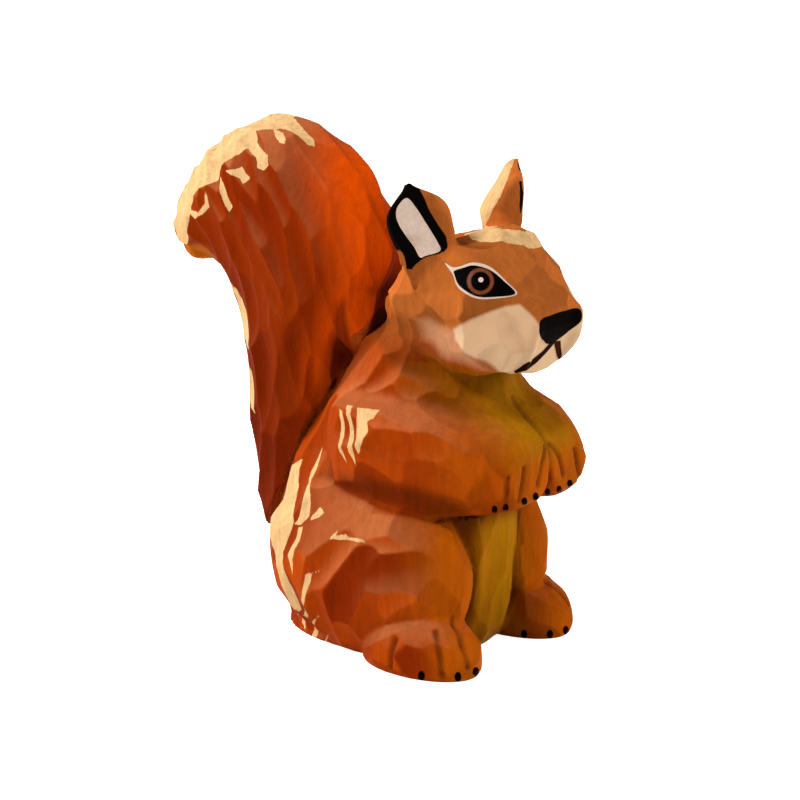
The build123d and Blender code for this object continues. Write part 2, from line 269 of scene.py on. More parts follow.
# Painted sunlit highlights on the tail tip and along its back edge
TAIL_SUNLIT = (
    ((285, 100), (240, 100), (200, 120), (165, 155), (155, 250), (183, 262), (187, 245), (190, 225),
     (191, 212), (190, 206), (196, 191), (205, 186), (215, 180), (217, 170), (228, 160), (236, 155),
     (243, 150), (252, 146), (256, 137), (256, 131), (262, 129), (272, 128), (285, 125)),
    ((285, 112), (300, 122), (314, 137), (315, 144), (308, 143), (297, 135), (285, 128), (272, 124)),
    ((272, 125), (283, 132), (286, 140), (285, 144), (279, 142), (274, 134)),
    ((250, 130), (258, 146), (267, 155), (268, 165), (262, 170), (256, 168), (256, 158), (248, 150)),
    ((222, 170), (238, 178), (241, 184), (248, 178), (243, 172), (240, 166), (232, 170)),
    ((217, 175), (221, 183), (225, 197), (229, 207), (227, 213), (223, 204), (218, 190)),
    ((206, 190), (210, 207), (203, 214), (196, 219), (189, 211), (192, 210), (199, 212), (205, 203)),
    ((225, 270), (236, 292), (243, 312), (248, 336), (248, 350), (243, 334), (236, 312), (228, 290)),
    ((244, 352), (249, 372), (251, 392), (252, 414), (249, 400), (246, 376)),
)
NECK_SHADE = (
    (380, 300), (400, 316), (410, 340), (432, 360), (470, 374), (505, 384), (480, 392), (430, 384),
    (392, 366), (374, 340),
)
ARM_WASH = ((470, 384), (520, 380), (556, 400), (562, 430), (530, 452), (500, 442), (478, 412))
ARM_SHADE = (
    (338, 474), (372, 480), (410, 488), (446, 500), (470, 510), (472, 524), (440, 522), (404, 510),
    (364, 500), (340, 490),
)
TIP_UNDERSIDE = ((180, 245), (200, 245), (207, 250), (215, 262), (195, 270), (175, 262))
EYE_WHITE = (
    (445, 263), (452, 267), (460, 266.4), (474, 262.4), (491, 267.4), (507, 282), (517, 294.2),
    (495, 298.6), (477, 298.6), (464.4, 292.8), (456.6, 285.4), (453, 275),
)
EYE_BLACK = (
    (454, 271), (462, 268.2), (474, 265.4), (490, 270.0), (504, 281), (515, 293.6),
    (494, 296.8), (478, 296.6), (466, 291), (458, 284), (454.5, 275),
)
EYE_MIDDLE = (480.5, 281.3)
EYE_FAR_SHIFT = -20.0

# Rings of the eyes: name, radius in pixels, lift in millimetres and paint
EYE_RINGS = (
    ("iris", 13.9, 0.20, "Iris Rim Paint"),
    ("iris_glow", 13.0, 0.24, "Iris Paint"),
    ("iris_dark", 9.9, 0.27, "Iris Rim Paint"),
    ("pupil", 9.2, 0.30, "Eye Black Paint"),
)
EYE_FILMS = (("eye_rim", EYE_WHITE, "Eye White Paint"), ("eye_black", EYE_BLACK, "Eye Black Paint"))
EYE_PAINTS = ("Eye White Paint", "Eye Black Paint", "Iris Paint", "Iris Rim Paint")
GLINT_MIDDLE = (480.9, 279.8)
GLINT_RADIUS = 2.6
GLINT_LIFT = 0.36
EAR_LINING = (
    (407, 198), (417, 209), (424, 220), (431, 231), (438, 243), (440, 251), (425, 256), (420, 257.5),
    (414, 247), (406, 236), (399, 225), (396, 215), (398, 206),
)
EAR_BORDER = (
    (410, 183), (417, 187), (424, 198), (429, 210), (438, 225), (445, 236), (446.5, 246), (443, 251),
    (424, 258), (415, 264), (409, 260), (401, 249), (394, 237), (390, 223), (389, 210), (394, 199),
    (402, 188),
)
EAR_INK = (
    (398, 160), (417, 183), (424, 198), (429, 210), (438, 225), (446, 236), (448, 247), (444, 252),
    (424, 259), (416, 266), (408, 276), (403, 262), (395, 250), (380, 240), (365, 225), (365, 190),
)
EAR_FILMS = (("ear_border", EAR_BORDER, "Ear Border Paint"), ("ear_lining", EAR_LINING, "Ear Lining Paint"))
EAR_WRAP_EDGE = 400
EAR_FAR_TOP = 111.0
EAR_FAR_SHIFT = 6.0

# Painted sunlit highlights of the crown and the far ear, in pixels of the picture itself, not mirrored
CROWN_SUNLIT = (
    ((455, 229), (474, 227), (486, 226), (498, 225), (509, 227), (523, 231), (538, 236), (552, 247),
     (540, 247), (527, 246), (511, 243), (491, 238), (473, 233.5)),
    ((470, 150), (515, 158), (508, 178), (500, 197), (491, 213), (484, 226), (470, 235)),
)

# Outlines of the washes, of the painted shade and of the painted sunlit highlights, with the half width of
# their soft edges, in pixels
PIXEL_AREAS = {
    "cream": ((CREAM_AREA,), 5),
    "halo": ((CREAM_HALO,), 12),
    "arm_wash": ((ARM_WASH,), 12),
    "gold": ((TIP_UNDERSIDE,), 4),
    "arm_shade": ((ARM_SHADE,), 9),
    "neck_shade": ((NECK_SHADE,), 8),
    "body_chips": (BODY_SUNLIT, 1.2),
    "tail_sunlit": (TAIL_SUNLIT, 1.2),
    "crown_sunlit": (CROWN_SUNLIT, 1.2),
    "ear_ink": ((EAR_INK,), 1.2),
}

# How strong a wash, a painted shade or a painted highlight is laid
STRENGTH = {
    "halo": 0.42, "chin": 0.8, "throat": 0.7, "jaw": 0.8, "arm_wash": 0.42, "gold": 1.6, "sunny": 0.9,
    "neck_shade": 0.75, "belly_foot": 0.45, "shade": 0.75, "low_tail_shade": 0.35, "chest_lift": 0.5,
}

# How far a surface faces the camera, the front, the sky or the ground, from mask 0 to mask 1
FACING = {
    "seen": (-0.25, 0.15), "plain_view": (0.0, 0.12), "in_picture": (-0.05, 0.05),
    "out_of_picture": (0.05, -0.05), "ahead": (-0.15, -0.75), "down": (0.0, -0.4),
    "body_sky": (0.15, 0.85), "haunch_sky": (-0.1, 0.55), "tail_sky": (0.05, 0.75),
    "shade": (0.75, 0.35), "ear_sun": (0.35, 0.6),
    "ear_near": (0.02, 0.2), "ear_wrap": (-0.45, -0.3), "ear_far": (0.3, 0.6),
}
# Directions of the sun that the painted sunlit highlights stand for, on the ears and on the rump and tail
# tip
EAR_SUN = (-0.55, 0.75, 0.35)
SUN_WAY = (-0.08, 0.83, 0.55)

# Painted sunlit spots: how far a facet faces the sun, where the spot starts along the figure,
# how that start leans and from which height, and the least tone of the stroke
SUNLIT_SPOTS = {
    "rump": ((0.55, 0.66), (20, 26), 0.3, 30, 0.5),
    "tip": ((0.50, 0.62), (47, 53), 0.75, 92, 0.42),
}

# Bounds of the washes and of the painted sunlit highlights
CREAM_BOX = ((-FAR, FAR), (-FAR, -30), (-FAR, 76))
WASH_TOP = 70.0
ARM_WASH_BOX = ((-FAR, FAR), (-FAR, -10), (-FAR, 66))
EAR_INK_BOX = ((-FAR, FAR), (-24, FAR), (92, FAR))
RUMP_TOP = 62.0
CROWN_LOW = 88.0
RUST_EDGE = (-1.0, 1.0)
SUNLIT_OFF_TAIL = (-1.6, -3.2)

# Brush lines in pixels: places and half widths
EAR_FAR_EDGE = (
    (517.6, 171, 0.5), (520.4, 182, 1.3), (521.8, 194, 1.7), (521.2, 206, 1.4), (520.4, 215, 0.5),
)
LIP_LINE = ((557.5, 341, 3.2), (558.2, 348, 2.8), (559.4, 355, 2.6), (560.6, 361, 1.8))
MOUTH_LINE = (
    (554, 342, 1.2), (544.5, 352.5, 1.6), (535, 361.0, 2.4), (525, 368.0, 3.0), (514.5, 372.5, 1.4),
)
MOUTH_FAR_START = 3

# Claws in pixels, on both sides as the picture shows them
PAW_CLAWS = ((494.6, 516.4), (505.8, 514.5), (524.6, 506.1), (535.8, 502.3))
FOOT_CLAWS = ((421.3, 677.0), (458.0, 676.0), (476.0, 667.0))
FAR_PAW_CLAWS = ((547.6, 496.7), (559.2, 493.0), (570.0, 489.0))
FAR_FOOT_CLAWS = ((524.0, 632.0), (550.0, 629.0), (566.0, 624.0))
CLAW_ROWS = (
    ("right_forepaw", PAW_CLAWS, 3.6), ("right_hind_foot", FOOT_CLAWS, 4.2),
    ("left_forepaw", FAR_PAW_CLAWS, 3.4), ("left_hind_foot", FAR_FOOT_CLAWS, 3.8),
)
CLAW_SHAPE = (0.8, 1.15)
CLAW_SEARCH = range(12, -30, -1)

# Outline of the nose pad from the front, across and up from its middle
NOSE_OUTLINE = (
    (-8.2, 0.6), (-7.8, 1.9), (-6.2, 2.5), (-3.0, 2.6), (0.0, 2.7), (3.0, 2.6), (6.2, 2.5), (7.8, 1.9),
    (8.2, 0.6), (7.9, -0.7), (6.2, -2.0), (4.0, -3.2), (2.0, -4.3), (0.0, -4.7),
    (-2.0, -4.3), (-4.0, -3.2), (-6.2, -2.0), (-7.9, -0.7),
)
NOSE_HEIGHT = 80.3
NOSE_MIDDLE = (0.0, -40.0, NOSE_HEIGHT)
NOSE_REACH = (9.5, 5.0, 5.0)
NOSE_LIFT = 0.45
NOSE_FADE = (0.7, 1.3)
NOSE_RISE = (1.05, 0.7)
NOSE_RAY_START = -0.1
MUZZLE_MIDDLE = (0.0, -37.0, 75.5)
MUZZLE_REACH = (13.0, 8.0, 7.5)
MUZZLE_FADE = (0.75, 1.25)
MUZZLE_RELIEF = 0.12

# Films of paint: depth in the wood, steps in pixels and millimetres, and tries nearer the middle
FILM_UNDER = 0.35
FILM_STEP = 1.6
RING_STEP = 1.2
GLINT_STEP = 1.0
LINE_STEP = 0.8
OUTLINE_STEP = 2.0
NOSE_STEP = 0.36
NOSE_OUTLINE_STEP = 0.4
FILM_MARGIN = 0.45
FILM_SHRINKS = tuple(at / 40 for at in range(25))
RING_CORNERS = 40
GLINT_CORNERS = 20
CLAW_CORNERS = 18

# Height of the films against the paint film of the sizes
FILM_HEIGHTS = {
    "eye_rim": 0.6, "eye_black": 1.3, "nose_pad": 1.5, "mouth_line": 4.5, "lip_line": 3.0,
    "ear_border": 0.7, "ear_lining": 1.6,
}

# Paints: colour, its bright and dark shares, low and high roughness, gloss
PAINTS = {
    "Eye White Paint": ("white", 1.0, 0.8, 0.32, 0.5, 0.04),
    "Eye Black Paint": ("black", 1.0, 0.5, 0.42, 0.6, 0.01),
    "Iris Paint": ("iris", 1.0, 0.55, 0.2, 0.34, 0.04),
    "Iris Rim Paint": ("iris", 0.35, 0.2, 0.2, 0.34, 0.04),
    "Nose Black Paint": ("black", 1.0, 0.5, 0.5, 0.7, 0.005),
    "Mouth Paint": ("mouth", 0.4, 0.2, 0.5, 0.7, 0.005),
    "Lip Paint": ("mouth", 1.0, 0.6, 0.5, 0.7, 0.005),
    "Ear Border Paint": ("black", 1.0, 0.5, 0.4, 0.6, 0.01),
    "Ear Lining Paint": ("white", 1.0, 0.72, 0.5, 0.7, 0.04),
    "Claw Paint": ("black", 1.0, 0.5, 0.45, 0.65, 0.004),
}

# Finish of the carved wood: settings of the grain and the brush, noises and bump
MASKS = (
    "cream", "moss", "rust", "glow", "bare", "face", "stroke", "groove", "ink", "front", "hollow", "sky",
)
WOOD_GRAIN = {"grain_size": 1.0, "pores": 0.35}
WOOD_BRUSH = {"bristle_size": 0.7, "sheen_low": 0.46, "sheen_high": 0.66}
CLOUD_NOISE = (55.0, 4.0, 0.6)
# Noise of the darker specks inside the painted sunlit highlights
SPECK_NOISE = (1500.0, 2.0, 0.5)
WOOD_BUMP = (0.35, 0.0004)
WOOD_GLOSS = 0.012
PAINT_BUMP = (0.3, 0.0002)
DOWEL_GRAIN = {"grain_size": 1.4, "pores": 0.6}
DOWEL_BUMP = (0.3, 0.0003)
DOWEL_SHEEN = (0.0, 1.0, 0.75, 0.6)
DOWEL_DARK = 0.6

# Ranges of the layers, from low and high to what they become
RANGES = {
    "stain": (0.2, 0.85), "face": (0.2, 0.9), "top_highlight_spread": (0.2, 0.85, 0.3, 0.62),
    "wash": (0.25, 0.6, 0.6, 1.0), "grain": (0.0, 1.0, 0.84, 1.04), "facet": (0.0, 1.0, 0.76, 1.0),
    "cream": (0.25, 0.75), "sunlit_share": (0.42, 0.6, 0.0, 0.92), "sunlit_specks": (0.58, 0.68, 0.0, 0.32),
    "ink": (0.35, 0.65),
}

# Shares of the layers, the painted shade and the grain that rags the painted sunlit highlights among them
SHARES = {
    "stroke": 0.65, "cloud": 0.5, "front": 0.45, "hollow": 0.8, "rough_edge": 0.06, "split": 0.4,
    "groove": 0.6, "brush": 0.6,
}
ROUGH_MIDDLE = 0.5
# Middle of the grain that rags the edge of the painted sunlit highlights
RAGGING_MIDDLE = 0.6
FACE_DARK = 0.5
FACET_DARK = 0.9
# Dark ends of the painted sunlit highlights and of their specks
SUNLIT_DARK = 0.72
SPECK_DARK = 0.8

# Lamps: name, place, side, power and tint
LAMPS = (
    ("key_lamp", (-0.54, 0.14, 0.62), 0.14, 4.9, (1.0, 0.96, 0.92)),
    ("front_lamp", (0.40, -0.62, 0.30), 0.30, 3.8, (1.0, 0.94, 0.85)),
    ("rim_lamp", (-0.10, 0.56, 0.44), 0.12, 3.4, (1.0, 0.92, 0.80)),
)
FLOOR_RADIUS = 6.0
FLOOR_LIFT = 0.92
FLOOR_ROUGHNESS = 0.9
WORLD_LEVEL = 0.14


def linear(code):
    """Scene colour of a six-digit colour code."""
    parts = [int(code[at:at + 2], 16) / 255 for at in (0, 2, 4)]
    return tuple(p / 12.92 if p <= 0.04045 else ((p + 0.055) / 1.055) ** 2.4 for p in parts)


def colour(name, description, code):
    """A colour that a user can change."""
    return FloatVectorProperty(
        name=name, description=description, default=linear(code), size=3, min=0, max=1, subtype="COLOR")


class SquirrelSizes(bpy.types.PropertyGroup):
    """Sizes of the carving."""

    voxel: FloatProperty(
        name="Carving Step", description="Distance between the points of the carved surface",
        default=0.42 * MM, min=0.25 * MM, max=2 * MM, precision=5, unit="LENGTH")
    crease_passes: IntProperty(
        name="Crease Passes", description="How often the creases between the forms are eased",
        default=9, min=0, max=60)
    stroke_scale: FloatProperty(
        name="Stroke Scale", description="Size of the gouge strokes against the carver's own",
        default=1.0, min=0.5, max=2, subtype="FACTOR")
    ridge_scale: FloatProperty(
        name="Ridge Scale", description="Height of the ridges between the strokes",
        default=1.0, min=0, max=2, subtype="FACTOR")
    film: FloatProperty(
        name="Paint Film", description="How far a film of paint stands off the wood",
        default=0.1 * MM, min=0.02 * MM, max=0.4 * MM, precision=5, unit="LENGTH")


class SquirrelColours(bpy.types.PropertyGroup):
    """Stain and paint of the figurine, with the tints of its painted light and shade."""

    stain: colour("Stain", "Orange-brown stain of the body", "B04406")
    stain_deep: colour("Deep Stain", "Darker stain in the hollows", "7E2200")
    face: colour("Face", "Softer stain of the head", "CC7030")
    rust: colour("Tail Rust", "Red-brown stain of the tail", "923002")
    # Paler tint of the facets that face up: a painted highlight that stands for light from above
    highlight_tint: colour("Highlight Stain", "Rubbed, paler stain on the facets that face up", "C87C4C")
    # Gold of the tail tip's underside; on the body's forward faces it stands for painted warm light
    gold: colour("Gold Stain", "Golden stain of the body's front", "D07008")
    # Bright orange of the tail's forward faces: painted warm light
    glow: colour("Tail Edge", "Bright orange of the tail's front edge", "DC4E02")
    moss: colour("Moss", "Yellow-green wash of the chest and belly", "A87006")
    cream: colour("Cream", "Pale paint of the cheeks and muzzle", "DABB97")
    # Pale tint of the painted sunlit highlights on the tail, rump, shoulder, crown and far ear
    bare: colour("Sunlit Wood", "Pale wood where the stain is cut away", "EBC48C")
    # Dark tint of the painted shade in the creases, on the lower tail, below the arms, round the neck and at
    # the foot of the belly
    shade_tint: colour("Crease", "Dark stain that gathered in the creases", "300A00")
    black: colour("Black", "Paint of the eyes, nose and claws", "070404")
    white: colour("White", "Paint of the eye rims and ear linings", "E8D2C2")
    iris: colour("Iris", "Brown paint of the eyes", "8A4A2B")
    mouth: colour("Mouth", "Red-brown paint below the nose", "3A140A")
    dowel: colour("Dowel", "Plain wood of the dowels", "C79A62")
    floor: colour("Floor", "Pale floor under the figurine", "F4F2EF")


def settings():
    """The carver's sizes and colours."""
    scene = bpy.context.scene
    return scene.squirrel_sizes, scene.squirrel_colours


# Sight lines of the picture
def camera_axes():
    """Forward, right and up of the camera."""
    forward = (CAMERA_TARGET - CAMERA_PLACE).normalized()
    right = forward.cross(Vector((0, 0, 1))).normalized()
    return forward, right, right.cross(forward)


def sight_line(pixel, mirrored=False):
    """Start and direction of the line through a pixel, or of its mirror image."""
    forward, right, upward = camera_axes()
    middle = IMAGE_SIDE / 2
    way = forward * FOCAL_PIXELS + right * (pixel[0] - middle) - upward * (pixel[1] - middle)
    way.normalize()
    start = CAMERA_PLACE.copy()
    if mirrored:
        start.x = -start.x
        way.x = -way.x
    return start, way


def pixels_of(points):
    """Pixels of points in millimetres."""
    forward, right, upward = (np.array(axis) for axis in camera_axes())
    away = points - np.array(CAMERA_PLACE) / MM
    depth = away @ forward
    across = IMAGE_SIDE / 2 + FOCAL_PIXELS * (away @ right) / depth
    down = IMAGE_SIDE / 2 - FOCAL_PIXELS * (away @ upward) / depth
    return np.stack((across, down), axis=1)


# Plain geometry
def smooth_step(low, high, values):
    """Soft step from 0 at low to 1 at high."""
    share = np.clip((values - low) / (high - low), 0, 1)
    return share * share * (3 - 2 * share)


def inside_distance(places, outline):
    """Distance to an outline, positive inside it."""
    corners = np.array(outline, float)
    ends = np.roll(corners, -1, axis=0)
    nearest = np.full(len(places), np.inf)
    inside = np.zeros(len(places), bool)
    for start, end in zip(corners, ends):
        run = end - start
        share = np.clip(((places - start) @ run) / (run @ run), 0, 1)
        gap = places - start - share[:, None] * run
        nearest = np.minimum(nearest, np.hypot(gap[:, 0], gap[:, 1]))
        crosses = (start[1] > places[:, 1]) != (end[1] > places[:, 1])
        rise = end[1] - start[1] or 1e-9
        inside ^= crosses & (places[:, 0] < start[0] + (places[:, 1] - start[1]) * run[0] / rise)
    return np.where(inside, nearest, -nearest)


def line_distance(points, line):
    """Distance of points to a run of straight pieces."""
    nearest = np.full(len(points), np.inf)
    for start, end in zip(line[:-1], line[1:]):
        run = end - start
        share = np.clip(((points - start) @ run) / (run @ run), 0, 1)
        nearest = np.minimum(nearest, np.linalg.norm(points - start - share[:, None] * run, axis=1))
    return nearest


def unit_rows(rows):
    """Rows of length one."""
    return rows / np.maximum(np.linalg.norm(rows, axis=1, keepdims=True), 1e-9)


def row_dots(first, second):
    """Dot products of the rows of two tables."""
    return np.einsum("ij,ij->i", first, second)


def near_side(rows, points):
    """Rows turned over to the near side where their points lie on the far side."""
    flip = np.ones_like(rows)
    flip[points[:, X] > 0, X] = -1
    return rows * flip


def area(name, points):
    """Soft mask of an area of the figure, between its edges."""
    mask = np.ones(len(points))
    for axis, low, high in SOFT_EDGES[name]:
        places = np.abs(points[:, X]) if axis == X else points[:, axis]
        mask = mask * smooth_step(low, high, places)
    return mask


def boxed(points, box):
    """Which points lie in a box, counted from the middle to both sides."""
    low, high = np.array(box, float).T
    sided = near_side(points, points) * MIRROR
    return np.all((sided > low) & (sided < high), axis=1)


def mesh_from(work, name):
    """A mesh of what was worked out; the work goes."""
    mesh = bpy.data.meshes.new(name)
    work.to_mesh(mesh)
    work.free()
    return mesh


def move_points(mesh, points):
    """Move the points of a mesh to places in millimetres."""
    mesh.vertices.foreach_set("co", (points * MM).astype(np.float32).ravel())
    mesh.update()


def loose_object(name, mesh):
    """An object in the scene that carries a mesh."""
    made = bpy.data.objects.new(name, mesh)
    bpy.context.scene.collection.objects.link(made)
    return made


def finished_mesh(made):
    """The mesh of an object after its modifiers; the object goes."""
    bpy.context.view_layer.update()
    graph = bpy.context.evaluated_depsgraph_get()
    mesh = bpy.data.meshes.new_from_object(made.evaluated_get(graph))
    bpy.data.objects.remove(made)
    return mesh


def vertex_arrays(mesh):
    """Places in millimetres and normals of a mesh."""
    count = len(mesh.vertices)
    places = np.empty(count * 3, np.float32)
    normals = np.empty(count * 3, np.float32)
    mesh.vertices.foreach_get("co", places)
    mesh.vertices.foreach_get("normal", normals)
    return places.reshape(-1, 3).astype(float) / MM, normals.reshape(-1, 3).astype(float)


def tree_of(mesh):
    """Search tree of a mesh for casting lines on it."""
    work = bmesh.new()
    work.from_mesh(mesh)
    tree = BVHTree.FromBMesh(work)
    work.free()
    return tree


def prism(outline, low, high):
    """Closed block from a depth and height outline, between two places across."""
    work = bmesh.new()
    rows = []
    for across in (low, high):
        rows.append([work.verts.new((across * MM, y * MM, z * MM)) for y, z in outline])
    work.faces.new(rows[0])
    work.faces.new(rows[1][::-1])
    for at in range(len(outline)):
        after = (at + 1) % len(outline)
        work.faces.new((rows[0][after], rows[0][at], rows[1][at], rows[1][after]))
    bmesh.ops.recalc_face_normals(work, faces=work.faces)
    bmesh.ops.triangulate(work, faces=work.faces)
    return mesh_from(work, "cutter")


def slab(place, axis):
    """Closed block that holds everything ahead of a plane."""
    work = bmesh.new()
    bmesh.ops.create_cube(work, size=2 * REACH * MM)
    turn = Vector((0, 0, 1)).rotation_difference(Vector(axis).normalized())
    for corner in work.verts:
        corner.co.z += REACH * MM
        corner.co = turn @ corner.co + Vector(place) * MM
    bmesh.ops.triangulate(work, faces=work.faces)
    return mesh_from(work, "cutter")


def cut(mesh, cutter, operation):
    """A copy of a mesh cut by another."""
    body = loose_object("cut_body", mesh)
    tool = loose_object("cut_tool", cutter)
    step = body.modifiers.new("Cut", "BOOLEAN")
    step.operation = operation
    step.solver = "MANIFOLD"
    step.object = tool
    result = finished_mesh(body)
    bpy.data.objects.remove(tool)
    if not result.polygons:
        raise RuntimeError("a parting cut left nothing")
    return result


def parted(mesh, cutter):
    """The two shares of a mesh, inside and outside a cutter."""
    return cut(mesh, cutter, "INTERSECT"), cut(mesh, cutter, "DIFFERENCE")


# Carving
def fused_blocks(sizes):
    """All blocks as one closed surface, with the creases between the forms eased."""
    work = bmesh.new()
    for middle, reach in FILLS:
        ball = bmesh.ops.create_icosphere(work, subdivisions=4, radius=1)
        for corner in ball["verts"]:
            corner.co = (Vector(middle) + Vector(reach) * corner.co) * MM
    for name in CARVED_NODES:
        work.from_mesh(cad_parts[name].data)
    body = loose_object("fused_blocks", mesh_from(work, "fused_blocks"))
    fuse = body.modifiers.new("Fuse", "REMESH")
    fuse.mode = "VOXEL"
    fuse.voxel_size = sizes.voxel
    ease = body.modifiers.new("Ease", "SMOOTH")
    ease.factor = EASE_SHARE
    ease.iterations = sizes.crease_passes
    return finished_mesh(body)


def eased(mesh, points, weights, passes):
    """Points drawn towards their neighbours where the weights say so."""
    pairs = np.empty(len(mesh.edges) * 2, np.int32)
    mesh.edges.foreach_get("vertices", pairs)
    ends = pairs.reshape(-1, 2)
    starts = np.concatenate((ends[:, 0], ends[:, 1]))
    others = np.concatenate((ends[:, 1], ends[:, 0]))
    chosen = weights[starts] > EASE_LEAST
    starts, others = starts[chosen], others[chosen]
    share = np.bincount(starts, minlength=len(points))
    held = np.maximum(share, 1)[:, None]
    pull = (weights * (share > 0))[:, None] * EASE_SHARE
    for _ in range(passes):
        total = [np.bincount(starts, points[others, axis], len(points)) for axis in (X, Y, Z)]
        points = points + pull * (np.stack(total, axis=1) / held - points)
    return points


def nearby_mean(points):
    """Mean place of the surface that lies around each point."""
    low = points.min(axis=0) - HOLLOW_STEP * (HOLLOW_PASSES + 2)
    places = (points - low) / HOLLOW_STEP
    cells = np.floor(places).astype(int)
    counts = cells.max(axis=0) + HOLLOW_PASSES + 3
    share = places - cells
    corners = []
    for corner in np.ndindex(2, 2, 2):
        weight = np.prod(np.where(corner, share, 1 - share), axis=1)
        corners.append((np.ravel_multi_index((cells + corner).T, counts), weight))
    found = np.zeros((len(points), 4))
    for column, values in enumerate((np.ones(len(points)), *points.T)):
        grid = sum(np.bincount(at, weight * values, np.prod(counts)) for at, weight in corners)
        grid = grid.reshape(counts)
        for axis in (X, Y, Z):
            for _ in range(HOLLOW_PASSES):
                grid = (np.roll(grid, 1, axis) + 2 * grid + np.roll(grid, -1, axis)) / 4
        flat = grid.ravel()
        found[:, column] = sum(flat[at] * weight for at, weight in corners)
    return found[:, 1:] / found[:, :1]


def shaped(mesh):
    """The fused surface with eased neck, breast and tail end, and a sloping cut below the nose."""
    points = vertex_arrays(mesh)[0]
    off_tail = inside_distance(points[:, 1:], TAIL_PARTING) <= NECK_OFF_TAIL
    band = smooth_step(*NECK_BAND, np.abs(points[:, Z] - NECK_HEIGHT))
    neck = band * smooth_step(*NECK_FRONT, points[:, Y]) * off_tail
    points = eased(mesh, points, neck, NECK_PASSES)
    points = eased(mesh, points, area("breast", points), BREAST_PASSES)
    tail_end = area("tail_end", points) * (points[:, Z] > TAIL_END_LOW)
    points = eased(mesh, points, tail_end, TAIL_END_PASSES)
    across, along, up = points.T
    chin = CHIN_START[0] + CHIN_SLOPE * np.maximum(CHIN_START[1] - up, 0)
    muzzle = smooth_step(*CHIN_WIDTH, np.abs(across)) * (up > CHIN_LOW) * (along < CHIN_BACK)
    points[:, Y] = along + muzzle * CHIN_ROUNDING * np.logaddexp(0, (chin - along) / CHIN_ROUNDING)
    move_points(mesh, points)
    return vertex_arrays(mesh)


def forms_of(points):
    """Number of the form that each point lies on."""
    along, up = points[:, Y], points[:, Z]
    names = np.full(len(points), FORMS.index("back"))
    for form, box in FORM_BOXES:
        names[boxed(points, box)] = FORMS.index(form)
    below_ankle = up < math.tan(ANKLE_ANGLE) * (ANKLE_HEEL - along)
    names[below_ankle & boxed(points, FOOT_BOX)] = FORMS.index("foot")
    ear_way = np.array(EAR_AXIS) / np.linalg.norm(EAR_AXIS)
    rise = (near_side(points, points) - np.array(EAR_JOINT)) @ ear_way
    names[(rise > EAR_ROOT) & (up > EAR_LOW)] = FORMS.index("ear")
    tail = inside_distance(points[:, 1:], TAIL_PARTING) > 0
    names[tail] = FORMS.index("tail")
    names[tail & (along + TIP_LEAN * (up - TIP_HEIGHT) > TIP_START)] = FORMS.index("tip")
    return names


def flow_of(points, names):
    """Direction of the gouge at each point."""
    flow = np.zeros_like(points)
    for form, way in FLOWS.items():
        flow[names == FORMS.index(form)] = way
    flow = near_side(flow, points)
    for form, pivot in (("tail", TAIL_PIVOT), ("tip", TAIL_PIVOT), ("haunch", THIGH_PIVOT)):
        chosen = names == FORMS.index(form)
        away = points[chosen][:, 1:] - np.array(pivot)
        flow[chosen] = np.stack((np.zeros(len(away)), away[:, 1], -away[:, 0]), axis=1)
    return unit_rows(flow)


def stroke_seeds(points, normals, names, flow, sizes, dice):
    """Points where the gouge enters, no closer than a stroke apart."""
    table = np.array([STROKES[form] for form in FORMS])
    tries = dice.permutation(len(points))[:STROKE_TRIES]
    kept = []
    shape = table[names] * (sizes.stroke_scale, sizes.stroke_scale, sizes.ridge_scale)
    taken, taken_flow, taken_normal, taken_shape = (np.empty((0, 3)) for _ in range(4))
    for at in tries:
        gap = points[at] - taken
        along = row_dots(gap, taken_flow)
        aside = row_dots(gap, gap) - along * along
        apart = aside / taken_shape[:, 0] ** 2 + along ** 2 / taken_shape[:, 1] ** 2
        alike = taken_normal @ normals[at] > STROKE_FACING
        if np.any((apart < STROKE_GAP) & alike):
            continue
        kept.append(at)
        taken, taken_flow, taken_normal = points[kept], flow[kept], normals[kept]
        taken_shape = shape[kept]
    taken_shape = taken_shape * np.exp(dice.normal(0, STROKE_VARIETY, (len(kept), 3)))
    turn = dice.normal(0, STROKE_VARIETY, len(kept))
    side = np.cross(taken_normal, taken_flow)
    taken_flow = unit_rows(taken_flow * np.cos(turn)[:, None] + side * np.sin(turn)[:, None])
    return taken, taken_normal, taken_flow, taken_shape, dice.random(len(kept))


def gouge_field(points, normals, seeds):
    """Depth and tone of the strokes."""
    places, faces, ways, shape, tones = seeds
    depth = np.empty(len(points))
    tone = np.empty(len(points))
    ways_offset = row_dots(places, ways)
    squares = row_dots(places, places)
    lift = STROKE_LIFTS * (tones - 0.5)
    for start in range(0, len(points), POINTS_AT_ONCE):
        part = slice(start, start + POINTS_AT_ONCE)
        here = points[part]
        along = here @ ways.T - ways_offset
        away = row_dots(here, here)[:, None] + squares - 2 * (here @ places.T)
        apart = (away - along ** 2) / shape[:, 0] ** 2 + along ** 2 / shape[:, 1] ** 2
        level = shape[:, 2] * (STROKE_CURVE * apart - STROKE_SINK + lift)
        level += np.where(normals[part] @ faces.T < STROKE_WRAP, NOT_REACHED, 0.0)
        lowest = np.partition(level, 1, axis=1)
        depth[part] = lowest[:, 0]
        first, second = np.argpartition(level, 1, axis=1)[:, :2].T
        whole = 0.5 + 0.5 * smooth_step(*STROKE_TONE_EDGE, lowest[:, 1] - lowest[:, 0])
        tone[part] = tones[first] * whole + tones[second] * (1 - whole)
    return np.where(depth > LEVEL_LIMIT, 0, np.minimum(depth, RIDGE_LIMIT)), tone


def cast_line(tree, pixels):
    """A run of pixels cast on the surface, in millimetres."""
    found = []
    for pixel in pixels:
        hit = tree.ray_cast(*sight_line(pixel))[0]
        if hit is None:
            raise RuntimeError(f"nothing lies behind pixel {pixel}")
        found.append(np.array(hit) / MM)
    return np.array(found)


def both_sides(line):
    """A line and its mirror image."""
    return line, line * MIRROR


